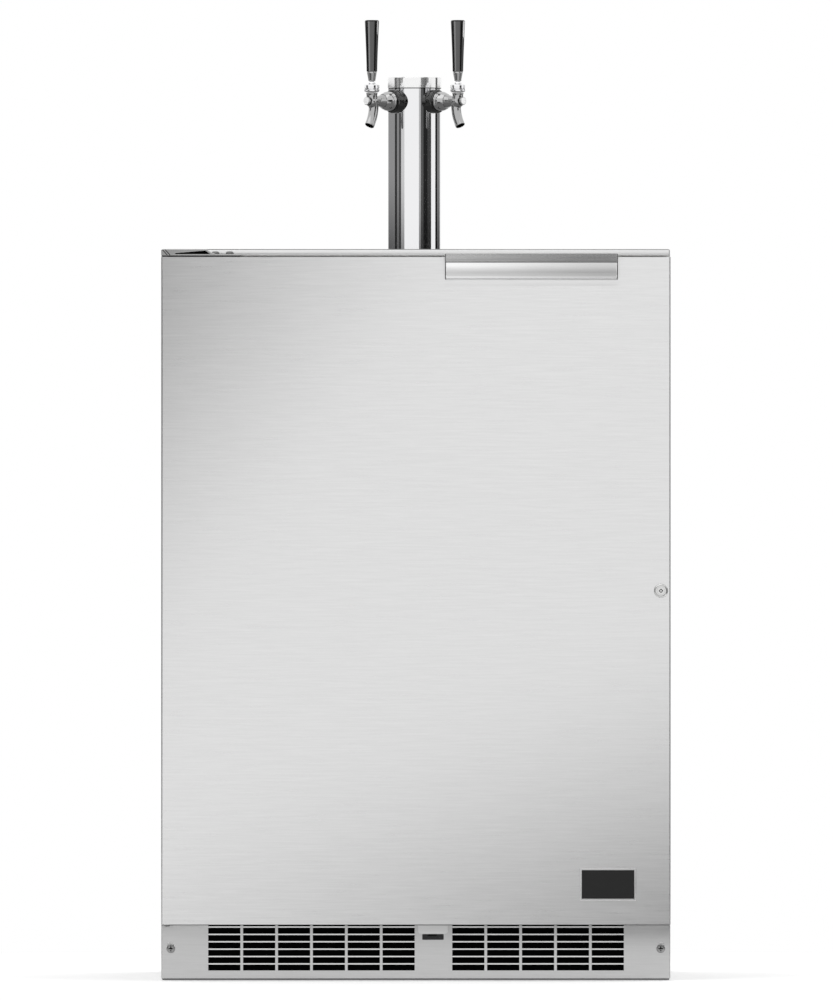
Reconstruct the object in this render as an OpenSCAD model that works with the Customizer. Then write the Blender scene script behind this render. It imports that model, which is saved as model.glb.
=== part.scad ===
// Under-counter draft beer dispenser: an insulated steel cabinet with a hinged door, a vented base
// and a two-tap tower on top. The front faces -Y, +Z is up, and the origin lies on the floor under
// the middle of the whole outline.

/* [Cabinet] */
// Width over the side panels
cabinet_w = 606; // [580:1:640]
// Height of the cabinet's top above the floor
cabinet_h = 871; // [840:1:900]
// Depth of the cabinet without its door
cabinet_d = 554; // [530:1:600]
// Thickness of the steel sheet
sheet = 1.2; // [0.8:0.1:1.6]
// Insulated thickness of the side walls
side_wall = 46; // [45:1:60]
// Insulated thickness of the top
top_wall = 56; // [54:1:70]
// Insulated thickness of the rear wall
rear_wall = 50; // [40:1:60]
// Insulated thickness of the floor
floor_wall = 40; // [36:1:60]
// Height of the machine compartment's ceiling above the floor
machine_h = 150; // [146:1:170]
// Thickness of the moulded liner
liner_t = 2; // [1.5:0.1:3]
// Width of the plastic strip between the steel frame and the liner
breaker_w = 12; // [8:1:14]
// Depth of that strip
breaker_d = 8; // [5:1:12]
// Gap between the panels' lower edges and the floor
base_gap = 2; // [1:0.5:6]
// Height of the base pan's underside above the floor
pan_z = 18; // [15:1:24]
// Thickness of the base pan
pan_t = 2; // [1.5:0.1:3]
// Distance of the feet from the cabinet's edges
foot_inset = 45; // [36:1:60]
// Radius of a foot's pad
foot_r = 16; // [12:1:20]

/* [Door] */
// Thickness of the door
door_t = 50; // [46:1:60]
// Gap between the door and the cabinet, filled by the gasket
door_gap = 6; // [5.5:0.1:8]
// Height of the door's lower edge above the floor
door_z = 67; // [60:1:80]
// Height of the strip between the door and the cabinet's top
top_gap = 10; // [9.5:0.1:14]
// Radius of the door's upright edges
door_edge_r = 2; // [1.5:0.1:3]
// Width of the gasket
gasket_w = 16; // [12:1:16]
// Depth of the raised panel on the back of the door
plug_d = 14; // [10:1:20]
// Gap between that panel and the liner's sides
plug_gap = 14; // [10:1:24]
// Thickness of the door's inner panel
door_liner_t = 2; // [1.5:0.1:3]
// Width of the bare plate on the door
badge_w = 67; // [50:1:90]
// Height of the bare plate on the door
badge_h = 38.5; // [30:0.5:50]
// Thickness of the bare plate
badge_t = 1.6; // [1:0.1:3]
// Distance of the bare plate from the door's right edge
badge_side = 41; // [30:1:60]
// Height of the bare plate above the door's lower edge
badge_up = 28.5; // [20:0.5:50]

/* [Hinges] */
// Distance of the hinge axis from the door's left edge
hinge_inset = 6.8; // [6.6:0.1:8]
// Distance of the hinge axis behind the door's face
hinge_back = 16; // [14:1:20]
// Radius of the hinge pins
pin_r = 3; // [2.5:0.1:3.2]
// Radial clearance of the pins in their bushes
pin_fit = 0.05; // [0.03:0.01:0.1]
// Wall of the bushes
bush_wall = 1.9; // [1.2:0.1:2]
// Length of the pins in the door
pin_in = 14; // [10:1:20]
// Thickness of the lower hinge's arm
arm_t = 4; // [3:0.5:5]
// Half the width of the lower hinge's arm
arm_r = 5.7; // [5.2:0.1:6]
// Width of the upper hinge's leaf
leaf_w = 94; // [80:1:110]
// Width of the upper hinge's arm
upper_arm_w = 55; // [45:1:65]
// Thickness of the upper hinge's leaf
leaf_t = 2.5; // [2:0.1:3]
// Thickness of the shim above the door
shim_t = 1.5; // [1:0.1:2]
// Gap between that shim and the door
shim_gap = 0.5; // [0.3:0.1:1]

/* [Handle] */
// Width of the pull handle
handle_w = 205.7; // [150:1:260]
// Distance of the handle's middle from the door's middle, to the right
handle_x = 137.4; // [100:1:160]
// Depth of the handle in front of the door
handle_out = 20; // [16:1:26]
// Height of the handle
handle_h = 33.3; // [30:0.1:40]
// Height of the lip above the door's upper edge
lip_up = 5.8; // [4:0.1:8]
// Height of the sloping lip
lip_h = 11.8; // [10:0.1:14]
// Depth of the crease between the lip and the belly
crease_out = 4; // [3.5:0.1:5]
// Thickness of the lip
lip_t = 2.5; // [2:0.1:3]
// Radius of the handle's belly
belly_r = 13; // [12.2:0.1:16]

/* [Lock] */
// Distance of the lock from the door's right edge
lock_inset = 11.5; // [11:0.1:12]
// Height of the lock above the floor
lock_z = 464; // [300:1:700]
// Radius of the lock's face ring
lock_r = 8.3; // [7.8:0.1:9]
// Radius of the lock's barrel
barrel_r = 6.5; // [6:0.1:7]
// Radius of the turning plug
plug_r = 4.6; // [4:0.1:5]
// Radial clearance of the plug in the barrel
plug_fit = 0.05; // [0.03:0.01:0.1]
// Length of the cam from the lock's axis
cam_len = 14; // [10:1:15]
// Width of the cam
cam_w = 5; // [4:0.5:5]
// Thickness of the cam
cam_t = 3; // [2:0.5:4]
// Clearance around the cam in its slot
cam_gap = 2.2; // [2:0.1:2.5]

/* [Vented base] */
// Distance of the base grille behind the door's face
kick_inset = 26; // [24:1:28]
// Gap between the base grille and the door
kick_gap = 1.2; // [1:0.1:2]
// Width of a grille slot
slot_w = 38.3; // [30:0.1:39]
// Height of a grille slot
slot_h = 6.4; // [5:0.1:7]
// Distance between slots across
slot_px = 41.5; // [40.5:0.1:44]
// Distance between slots upwards
slot_pz = 8.78; // [8:0.01:9.2]
// Left end of the left group of slots, from the middle
left_slots_x = -247.1; // [-255:0.1:-245]
// Left end of the right group of slots, from the middle
right_slots_x = 43.4; // [42:0.1:50]
// Lower edge of the lowest slots above the floor
slots_z = 12.2; // [10:0.1:14]
// Distance of the grille's screws from its ends
kick_screw_in = 11.4; // [11:0.1:14]
// Height of the grille's screws above the floor
kick_screw_z = 37.8; // [34:0.1:42]
// Radius of the screws' heads
kick_head_r = 5.1; // [4:0.1:6]
// Width of the display window
window_w = 25.5; // [22:0.1:28]
// Height of the display window
window_h = 6.8; // [6:0.1:7.5]
// Left end of the display window, from the middle
window_x = 7.7; // [6:0.1:9]
// Lower edge of the display window above the floor
window_z = 48.4; // [46:0.1:49]
// Width of the tab above the window
tab_w = 35.4; // [34:0.1:38]
// Thickness of that tab
tab_t = 0.8; // [0.5:0.1:1.2]
// Width of the push button
button_w = 10.5; // [8:0.1:12]
// Height of the push button
button_h = 1.9; // [1.5:0.1:2.2]
// Travel of the push button
button_travel = 1; // [0.6:0.1:1.5]

/* [Tower] */
// Outer radius of the tower's column
tower_r = 31.75; // [31.5:0.05:38]
// Wall of the column
tower_wall = 1.6; // [1.2:0.1:2]
// Height of the column above the cabinet's top
tower_h = 196.8; // [195:0.1:240]
// Height of the tower's cap
cap_h = 12.5; // [10:0.1:16]
// How far the cap stands out past the column
cap_lip = 0.5; // [0.3:0.1:2]
// Radius of the opening for the beer lines
line_r = 20; // [16:1:21]
// Thickness of the seal under the tower
seal_t = 1; // [0.5:0.1:2]
// Radial clearance between pieces that are pushed together
fit = 0.1; // [0.05:0.01:0.15]

/* [Taps] */
// Angle of each tap from straight ahead
tap_angle = 45; // [42:1:50]
// Height of the tap's axis above the cabinet's top
tap_up = 180; // [160:1:180]
// Radius of the shank
shank_r = 9.5; // [9:0.1:10]
// Radius of the saddle flange
flange_r = 13.25; // [12:0.05:14]
// Reach of the saddle flange from the tower's axis
flange_u = 41; // [40:0.5:46]
// Radius of the coupling nut
nut_r = 11.75; // [11.5:0.05:13]
// Length of the coupling nut
nut_len = 13.5; // [12:0.5:16]
// Radius of the faucet's neck
neck_r = 7; // [6:0.1:7.2]
// Distance of the lever's axis from the coupling nut
head_u = 18; // [17:0.5:22]
// Radius of the faucet's head
head_r = 8.2; // [7.8:0.1:8.8]
// Radius of the bonnet
bonnet_r = 9; // [8.8:0.1:10]
// Height of the bonnet's underside above the tap's axis
bonnet_z = 10.2; // [10:0.1:12]
// Height of the bonnet
bonnet_h = 9.7; // [9.5:0.1:12]
// Radius of the lever's ball
ball_r = 4.3; // [4:0.1:4.6]
// Radial clearance of the ball in its seat
ball_fit = 0.1; // [0.05:0.01:0.1]
// Radius of the spout
spout_r = 6; // [5.5:0.1:6.5]
// Radius of the spout's bore
spout_bore = 4.5; // [4:0.1:4.8]
// Slope of the spout from the vertical
spout_lean = 21; // [15:1:25]
// Height of the spout's tip below the tap's axis
spout_down = 28.8; // [25:0.1:34]
// Radius of the front cap of the faucet
button_r = 4.65; // [4.2:0.05:5]
// Height of the ferrule
ferrule_h = 11.2; // [9:0.1:14]
// Height of the grip
grip_h = 62; // [50:1:90]
// Radius of the grip's lower end
grip_r0 = 6.4; // [5.5:0.1:7]
// Radius of the grip's upper end
grip_r1 = 8.6; // [7:0.1:10]
// Forward swing of the lever
lever_swing = 30; // [20:1:30]

/* [Cooling] */
// Width of the condenser
condenser_w = 230; // [200:1:240]
// Depth of the condenser
condenser_d = 46; // [40:1:60]
// Height of the condenser
condenser_h = 104; // [96:1:110]
// Number of fins on the condenser
fin_count = 24; // [12:1:30]
// Thickness of a fin
fin_t = 1; // [0.8:0.1:1.5]
// Radius of the condenser's fan
condenser_fan_r = 44; // [36:1:46]
// Radius of the compressor's shell
compressor_r = 72; // [60:1:78]
// Height of the compressor's shell
compressor_h = 106; // [90:1:112]
// Distance of the compressor's axis from the right side
compressor_side = 190; // [150:1:200]
// Distance of the compressor's axis from the back
compressor_back = 150; // [120:1:180]
// Height of the discharge pipe above the base pan
pipe_up = 78; // [60:1:84]
// Width of the evaporator's cover
evaporator_w = 300; // [260:1:360]
// Height of the evaporator's cover
evaporator_h = 200; // [180:1:240]
// Depth of the evaporator's cover
evaporator_d = 45; // [40:1:60]
// Radius of the evaporator's fan
evaporator_fan_r = 46; // [40:1:50]

/* [Hidden] */
$fn = 64;

// A cut runs this far past the face that it goes through
cut = 1;

// Planes of the cabinet and the door, front to back
rear_y = (handle_out + door_t + door_gap + cabinet_d) / 2;
front_y = rear_y - cabinet_d;
door_back_y = front_y - door_gap;
door_face_y = door_back_y - door_t;
kick_y = door_face_y + kick_inset;

// Half widths and heights of the cabinet, its steel frame's opening and its liner
half_w = cabinet_w / 2;
in_x = half_w - sheet;
in_top = cabinet_h - sheet;
liner_x = half_w - side_wall;
liner_top = cabinet_h - top_wall;
liner_floor = machine_h + floor_wall;
liner_back = rear_y - rear_wall;
open_x = liner_x + breaker_w;
open_top = liner_top + breaker_w;
open_floor = liner_floor - breaker_w;
door_top = cabinet_h - top_gap;
pan_top = pan_z + pan_t;
kick_top = door_z - kick_gap;

// Hinge axis and bushes
hinge_x = -half_w + hinge_inset;
hinge_y = door_face_y + hinge_back;
bush_r = pin_r + pin_fit + bush_wall;
bush_hole_r = bush_r + pin_fit;
lower_leaf_w = 40;
lower_leaf_up = 10;
pin_head_r = 3.9;
pin_head_h = 2.4;
notch_h = arm_t + 0.5;
notch_x = hinge_x + arm_r + 0.8;
notch_y = hinge_y - arm_r - 3.6;
arm_top = cabinet_h - 1.5;
shim_z = door_top + shim_gap;
arm_z = shim_z + shim_t;
leaf_z = door_top - 13;
upper_arm_y = hinge_y - 10;
strap_t = 2.6;
strap_foot = 12;
pivot_pad = 8;
strap_head_r = 5;
strap_head_t = 3;
strap_screw_x = -half_w + 82;
strap_screw_y = upper_arm_y + 12;
hinge_screw_r = 2;
hinge_head_r = 4;
hinge_head_t = 1.8;
hinge_screw_len = 14;
hinge_screw_z = leaf_z + hinge_head_r + 1.5;
hinge_screw_x = [-half_w + leaf_w - 11, -half_w + leaf_w - 31];

// Lock
lock_x = half_w - lock_inset;
lock_face_t = 3;
cam_y = front_y + sheet + 1;
cam_stem_r = 2.4;
slot_half = cam_w / 2 + cam_gap;
strike_wall = 1;
strike_lo = [lock_x - cam_len - cam_gap - strike_wall, front_y + sheet, lock_z - slot_half - strike_wall];
strike_hi = [
    lock_x + slot_half + strike_wall,
    cam_y + cam_t + cam_gap + strike_wall,
    lock_z + cam_len + cam_gap + strike_wall];

// Vented base
slot_rows = 6;
left_columns = 6;
right_columns = 5;
bracket_w = 22;
bracket_t = 2;
bracket_half_h = 12;
bracket_back = 30;
kick_screw_r = 2;
kick_head_t = 2.4;
cross_r = 2.8;
cross_t = 1.2;
kick_screw_len = 12;
kick_screw_x = half_w - kick_screw_in;
module_d = 40;
module_side = 6;
lens_back = 0.4;
window_gap = 0.1;
button_gap = 0.2;
button_out = 0.6;
button_in = 4;
window_mid = window_x + window_w / 2;
window_top = window_z + window_h;
tab_z = window_top + 0.6;
tab_corner_r = 3;

// Tower and taps
tower_y = (front_y + rear_y) / 2;
tower_z = cabinet_h + seal_t;
tower_in = tower_r - tower_wall;
grommet_t = 2;
seal_in = 0.3;
ring_t = 8;
ring_screw_r = 2.5;
ring_screw_pcd = line_r + (tower_in - line_r) / 2;
ring_head_r = 4;
ring_head_t = 3;
ring_screw_len = 30;
column_top = cabinet_h + tower_h;
saddle_r = shank_r + 2.5;
saddle_u = 24;
cap_plug_h = tower_h - tap_up - saddle_r - 0.8;
cap_wall = 2;
cap_bevel = 2;
tap_z = cabinet_h + tap_up;
shank_in = 18;
shank_bore = 4;
nut_u0 = flange_u + 0.5;
nut_u1 = nut_u0 + nut_len;
nut_lip = 4.5;
spanner_r = 1.6;
tail_flange = 1.5;
shank_end = nut_u1 - nut_lip - tail_flange;
lever_u = nut_u1 + head_u;
pivot_z = bonnet_z + bonnet_h + 0.6;
stem_r = 2.6;
tail_r = 1.8;
tail_len = 7.5;
lever_len = 30;
ferrule_z = pivot_z + 3.5;
grip_z = ferrule_z + ferrule_h;
ferrule_r0 = 4.15;
ferrule_step = 0.4;
grip_round = 2;
// The spout's axis runs through its tip, below and in front of the tap's axis
spout_tip_u = lever_u + 3.1;
spout_len = 27;
spout_swell = 0.8;
neck_cone = 6;
waist_r = 6.4;
collar_h = 3;
collar_in = 1;
cap_proud = 1.2;
cap_ring = 0.5;

// Fans, condenser, compressor and evaporator
shaft_r = 2.5;
shaft_fit = 0.05;
fan_hub_r = 14;
fan_hub_h = 10;
blade_count = 5;
blade_pitch = 25;
blade_t = 1.6;
spider_t = 5;
spider_w = 8;
spider_hub_r = 16;
fan_gap = 4;
fan_tip_gap = 3;
fan_depth = fan_hub_h + 2 * fan_gap;
shaft_len = fan_gap + spider_t + 2;
condenser_x = -half_w + 50;
condenser_y = front_y + 14;
shroud_y = condenser_y + condenser_d;
shroud_t = 2;
condenser_fan_x = condenser_x + condenser_w / 2;
condenser_fan_z = pan_top + condenser_h / 2;
tube_r = 4;
tube_rows = 4;
compressor_x = half_w - compressor_side;
compressor_y = rear_y - compressor_back;
mount_h = 6;
mount_r = 8;
mount_reach = 52;
foot_plate_t = 3;
dome_h = 20;
dome_in = 32;
terminal = [26, 44, 46];
pipe_r = 3;
pipe_bend = 20;
pipe_z = pan_top + pipe_up;
pipe_y = condenser_y + condenser_d / 2;
stub_len = 14;
cover_t = 2;
vent_pitch = 36;
vent_w = 26;
vent_in = 8;
evaporator_top = liner_top - 60;
evaporator_fan_z = evaporator_top - 62;
coil_h = 45;
spider_drop = evaporator_fan_r + 14;
coil_margin = 10;
pan_wall = 2;
drain_h = 30;
drain_front = 40;
keg_plate_in = 20;
keg_plate_t = 1.5;

// Mains inlet at the back
gland_x = -half_w + 100;
gland_z = pan_top + 40;
gland_r = 10;
gland_bore = 4.5;
gland_flange = 3;
gland_len = 14;

// Feet with a hexagon to turn them and a threaded stem through the base pan
foot_stem_r = 5;
foot_stem_up = 22;
foot_pad_h = 9;
foot_bevel = 3;
foot_hex_r = 9.8;

button_x0 = window_mid - button_w / 2 - 1;
button_z0 = window_top - button_h - button_gap - window_gap;

// Handle section: X is the depth in front of the door, Y the height above the handle's lower edge
crease_z = handle_h - lip_h;
belly_half = sqrt(crease_out * crease_out + crease_z * crease_z) / 2;
belly_tilt = atan2(crease_z, crease_out);
belly_depth = sqrt(belly_r * belly_r - belly_half * belly_half);
belly_centre = [crease_out, crease_z] / 2 + belly_depth * [-sin(belly_tilt), cos(belly_tilt)];
lip_run = handle_out - crease_out;
lip_angle = atan2(lip_h, lip_run);

module block(lo, hi) {
    translate(lo) cube(hi - lo);
}

module at_tower() {
    translate([0, tower_y, 0]) children();
}

// Places a tap's own frame: +X runs out along the shank and Z is up from the tap's axis
module at_tap(side) {
    translate([0, tower_y, tap_z]) rotate([0, 0, -90 + side * tap_angle]) children();
}

// A hole that runs up through a plate from its underside
module hole_up(z, thickness, r) {
    translate([0, 0, z - cut]) cylinder(h = thickness + 2 * cut, r = r);
}

module along_x(length, r, from = 0) {
    translate([from, 0, 0]) rotate([0, 90, 0]) cylinder(h = length, r = r);
}

module along_y(length, r, from = 0) {
    translate([0, from, 0]) rotate([-90, 0, 0]) cylinder(h = length, r = r);
}

module at_feet() {
    for (x = [-half_w + foot_inset, half_w - foot_inset], y = [front_y + foot_inset, rear_y - foot_inset])
        translate([x, y, 0]) children();
}

module at_ring_screws() {
    for (a = [0:90:270]) at_tower() rotate([0, 0, a]) translate([ring_screw_pcd, 0, 0]) children();
}

module at_hinge_screws() {
    for (x = hinge_screw_x) translate([x, front_y, hinge_screw_z]) children();
}

module at_strap_screw() {
    translate([strap_screw_x, strap_screw_y, 0]) children();
}

module at_kick_screws() {
    for (side = [-1, 1]) translate([side * kick_screw_x, kick_y, kick_screw_z]) children();
}

// A flat outline with round corners, kept as true arcs
module round_rect(w, h, r) {
    square([w - 2 * r, h], center = true);
    square([w, h - 2 * r], center = true);
    for (x = [-1, 1], y = [-1, 1]) translate([x * (w / 2 - r), y * (h / 2 - r)]) circle(r);
}

// A ring between two upright rectangles, from one depth to another
module upright_ring(x_out, z_lo_out, z_hi_out, x_in, z_lo_in, z_hi_in, y0, y1) {
    difference() {
        block([-x_out, y0, z_lo_out], [x_out, y1, z_hi_out]);
        block([-x_in, y0 - cut, z_lo_in], [x_in, y1 + cut, z_hi_in]);
    }
}

// A fan on a shaft along +Y, its hub starting at the origin
module fan(r, shaft_len) {
    along_y(fan_hub_h, fan_hub_r);
    along_y(shaft_len, shaft_r, fan_hub_h);
    for (i = [0:blade_count - 1]) rotate([0, i * 360 / blade_count, 0]) intersection() {
        translate([fan_hub_r - 2, fan_hub_h / 2, 0]) rotate([blade_pitch, 0, 0])
            translate([0, -blade_t / 2, -fan_hub_r * 0.7]) cube([r, blade_t, fan_hub_r * 1.4]);
        along_y(fan_hub_h, r);
    }
}

// Arms and a hub that carry a fan's shaft behind a round opening
module spider(r) {
    difference() {
        union() {
            along_y(spider_t, spider_hub_r);
            for (i = [0:2]) rotate([0, 30 + i * 120, 0])
                translate([0, 0, -spider_w / 2]) cube([r, spider_t, spider_w]);
        }
        along_y(spider_t + 2 * cut, shaft_r + shaft_fit, -cut);
    }
}

module cabinet_wrap() {
    color("silver") difference() {
        block([-half_w, front_y, base_gap], [half_w, rear_y - sheet, cabinet_h]);
        block([-in_x, front_y - cut, base_gap - cut], [in_x, rear_y, in_top]);
        at_tower() hole_up(in_top, sheet, line_r + fit);
        at_ring_screws() hole_up(in_top, sheet, ring_screw_r + fit);
    }
}

module back_panel() {
    color("gainsboro") difference() {
        block([-half_w, rear_y - sheet, base_gap], [half_w, rear_y, cabinet_h]);
        translate([gland_x, 0, gland_z]) along_y(sheet + 2 * cut, gland_r + fit, rear_y - sheet - cut);
    }
}

module mains_gland() {
    color("black") translate([gland_x, rear_y, gland_z]) difference() {
        union() {
            along_y(gland_len, gland_r, -gland_len);
            along_y(gland_flange, gland_r + gland_flange, -sheet - gland_flange);
        }
        along_y(gland_len + 2 * cut, gland_bore, -gland_len - cut);
    }
}

module front_frame() {
    color("silver") difference() {
        upright_ring(in_x, machine_h, in_top, open_x, open_floor, open_top, front_y, front_y + sheet);
        block(
            [lock_x - slot_half, front_y - cut, lock_z - slot_half],
            [lock_x + slot_half, front_y + sheet + cut, lock_z + cam_len + cam_gap]);
        at_hinge_screws() along_y(sheet + 2 * cut, hinge_screw_r + fit, -cut);
    }
}

module breaker_frame() {
    color("lightgray")
        upright_ring(
            open_x, open_floor, open_top,
            liner_x, liner_floor, liner_top,
            front_y, front_y + breaker_d);
}

module liner_outside() {
    block(
        [-liner_x - liner_t, front_y + breaker_d, liner_floor - liner_t],
        [liner_x + liner_t, liner_back + liner_t, liner_top + liner_t]);
}

module liner() {
    color("gainsboro") difference() {
        liner_outside();
        block([-liner_x, front_y, liner_floor], [liner_x, liner_back, liner_top]);
        at_tower() hole_up(liner_top, liner_t, line_r + fit);
    }
}

module foam_body() {
    color("khaki") difference() {
        block([-in_x, front_y + sheet, machine_h], [in_x, rear_y - sheet, in_top]);
        liner_outside();
        block([-open_x, front_y, open_floor], [open_x, front_y + breaker_d, open_top]);
        at_tower() translate([0, 0, liner_top]) cylinder(h = top_wall, r = line_r + fit);
        at_ring_screws() hole_up(in_top - ring_screw_len, ring_screw_len, ring_screw_r + fit);
        at_hinge_screws() along_y(hinge_screw_len + cut, hinge_screw_r + fit);
        block(strike_lo, strike_hi);
    }
}

module deck_plate() {
    color("darkgray") block([-in_x, front_y, machine_h - sheet], [in_x, rear_y - sheet, machine_h]);
}

module base_pan() {
    color("dimgray") difference() {
        block([-in_x, front_y, pan_z], [in_x, rear_y - sheet, pan_top]);
        at_feet() hole_up(pan_z, pan_t, foot_stem_r + fit);
    }
}

module levelling_feet() {
    color("dimgray") at_feet() {
        cylinder(h = foot_pad_h - foot_bevel, r = foot_r);
        translate([0, 0, foot_pad_h - foot_bevel])
            cylinder(h = foot_bevel, r1 = foot_r, r2 = foot_r - foot_bevel);
        translate([0, 0, foot_pad_h]) cylinder(h = pan_z - foot_pad_h, r = foot_hex_r, $fn = 6);
        translate([0, 0, pan_z]) cylinder(h = foot_stem_up, r = foot_stem_r);
    }
}

module slot_group(x, columns) {
    for (i = [0:columns - 1], j = [0:slot_rows])
        translate([x + i * slot_px, kick_y - cut, slots_z + j * slot_pz])
            cube([slot_w, sheet + 2 * cut, slot_h]);
}

module kick_plate() {
    color("silver") difference() {
        block([-half_w, kick_y, base_gap], [half_w, front_y, kick_top]);
        block([-in_x, kick_y + sheet, base_gap - cut], [in_x, front_y + cut, kick_top + cut]);
        slot_group(left_slots_x, left_columns);
        slot_group(right_slots_x, right_columns);
        block([window_x, kick_y - cut, window_z], [window_x + window_w, kick_y + sheet + cut, window_top]);
        at_kick_screws() along_y(sheet + 2 * cut, kick_screw_r + fit, -cut);
    }
}

module kick_brackets() {
    z0 = kick_screw_z - bracket_half_h;
    z1 = kick_screw_z + bracket_half_h;
    color("gray") difference() {
        for (side = [0, 1]) mirror([side, 0, 0]) {
            block([in_x - bracket_w, kick_y + sheet, z0], [in_x, kick_y + sheet + bracket_t, z1]);
            block([in_x - bracket_t, kick_y + sheet, z0], [in_x, front_y + bracket_back, z1]);
        }
        at_kick_screws() along_y(kick_screw_len + cut, kick_screw_r + fit);
    }
}

module kick_screws() {
    color("dimgray") at_kick_screws() difference() {
        union() {
            along_y(kick_head_t, kick_head_r, -kick_head_t);
            along_y(kick_screw_len, kick_screw_r);
        }
        for (a = [0, 90]) rotate([0, a, 0])
            block([-cross_r, -kick_head_t - cut, -cross_t / 2], [cross_r, -kick_head_t / 2, cross_t / 2]);
    }
}

module control_tab() {
    tab_h = kick_top - tab_z;
    color("silver") translate([window_mid, kick_y, tab_z + tab_h / 2]) intersection() {
        rotate([90, 0, 0]) linear_extrude(tab_t) translate([0, tab_corner_r])
            round_rect(tab_w, tab_h + 2 * tab_corner_r, tab_corner_r);
        block([-tab_w, -tab_t - cut, -tab_h], [tab_w, cut, tab_h / 2]);
    }
}

module button_space(extra, y0, y1) {
    block(
        [button_x0 - extra, y0, button_z0 - extra],
        [button_x0 + button_w + extra, y1, button_z0 + button_h + extra]);
}

module display_lens() {
    color([0.12, 0.12, 0.13]) difference() {
        block(
            [window_x + window_gap, kick_y + lens_back, window_z + window_gap],
            [window_x + window_w - window_gap, kick_y + sheet, window_top - window_gap]);
        block(
            [button_x0 - button_gap, kick_y, button_z0 - button_gap],
            [button_x0 + button_w + button_gap, kick_y + sheet + cut, window_top + cut]);
    }
}

module control_module() {
    color([0.15, 0.15, 0.16]) difference() {
        block(
            [window_x - module_side, kick_y + sheet, window_z - module_side],
            [window_x + window_w + module_side, kick_y + sheet + module_d, kick_top]);
        button_space(button_gap, kick_y, kick_y + sheet + button_in + button_travel + button_gap);
        for (x = [left_slots_x + left_columns * slot_px - slot_px, right_slots_x])
            block([x, kick_y, 0], [x + slot_w, kick_y + module_d * 2, kick_top + cut]);
    }
}

module power_button() {
    color("black") button_space(0, kick_y - button_out, kick_y + sheet + button_in);
}

module condenser() {
    z0 = pan_top;
    color([0.08, 0.08, 0.09]) {
        for (i = [0:fin_count - 1])
            translate([condenser_x + i * (condenser_w - fin_t) / (fin_count - 1), condenser_y, z0])
                cube([fin_t, condenser_d, condenser_h]);
        for (j = [0:tube_rows - 1], k = [1, 3])
            translate([0, condenser_y + condenser_d * k / 4, z0 + condenser_h * (j + 0.5) / tube_rows])
                along_x(condenser_w, tube_r, condenser_x);
    }
}

module condenser_shroud() {
    color([0.1, 0.1, 0.1]) {
        difference() {
            block(
                [condenser_x, shroud_y, pan_top],
                [condenser_x + condenser_w, shroud_y + shroud_t, pan_top + condenser_h]);
            translate([condenser_fan_x, shroud_y, condenser_fan_z])
                along_y(shroud_t + 2 * cut, condenser_fan_r + fan_tip_gap, -cut);
        }
        translate([condenser_fan_x, shroud_y, condenser_fan_z]) {
            difference() {
                along_y(fan_depth, condenser_fan_r + fan_tip_gap + shroud_t);
                along_y(fan_depth + 2 * cut, condenser_fan_r + fan_tip_gap, -cut);
            }
            translate([0, fan_depth, 0]) spider(condenser_fan_r + fan_tip_gap + shroud_t);
        }
    }
}

module condenser_fan() {
    color([0.15, 0.15, 0.15])
        translate([condenser_fan_x, shroud_y + fan_gap, condenser_fan_z]) fan(condenser_fan_r, shaft_len);
}

module at_mounts() {
    for (x = [-1, 1], y = [-1, 1]) translate([x * mount_reach, y * mount_reach, 0]) children();
}

module compressor() {
    color([0.09, 0.09, 0.1]) translate([compressor_x, compressor_y, pan_top + mount_h]) {
        cylinder(h = compressor_h - dome_h, r = compressor_r);
        translate([0, 0, compressor_h - dome_h])
            cylinder(h = dome_h, r1 = compressor_r, r2 = compressor_r - dome_in);
        at_mounts() cylinder(h = foot_plate_t, r = mount_r + foot_plate_t);
        translate([compressor_r - terminal[0] / 4, -terminal[1] / 2, dome_h]) cube(terminal);
        translate([0, 0, pipe_z - pan_top - mount_h])
            along_y(2 * stub_len, pipe_r + foot_plate_t, -compressor_r - stub_len);
    }
}

module compressor_mounts() {
    color([0.05, 0.05, 0.05]) translate([compressor_x, compressor_y, pan_top])
        at_mounts() cylinder(h = mount_h, r = mount_r);
}

module discharge_pipe() {
    x0 = condenser_x + condenser_w;
    x1 = compressor_x - pipe_bend;
    y1 = compressor_y - compressor_r - stub_len;
    color([0.72, 0.45, 0.3]) {
        translate([0, pipe_y, pipe_z]) along_x(x1 - x0, pipe_r, x0);
        translate([x1, pipe_y + pipe_bend, pipe_z]) rotate([0, 0, -90])
            rotate_extrude(angle = 90) translate([pipe_bend, 0]) circle(pipe_r);
        translate([compressor_x, 0, pipe_z]) along_y(y1 - pipe_y - pipe_bend, pipe_r, pipe_y + pipe_bend);
    }
}

module drain_pan() {
    y0 = shroud_y + fan_depth + spider_t + drain_front;
    y1 = rear_y - foot_inset - foot_r;
    color([0.2, 0.2, 0.22]) difference() {
        block([condenser_x, y0, pan_top], [condenser_x + condenser_w, y1, pan_top + drain_h]);
        block(
            [condenser_x + pan_wall, y0 + pan_wall, pan_top + pan_wall],
            [condenser_x + condenser_w - pan_wall, y1 - pan_wall, pan_top + drain_h + cut]);
    }
}

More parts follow.
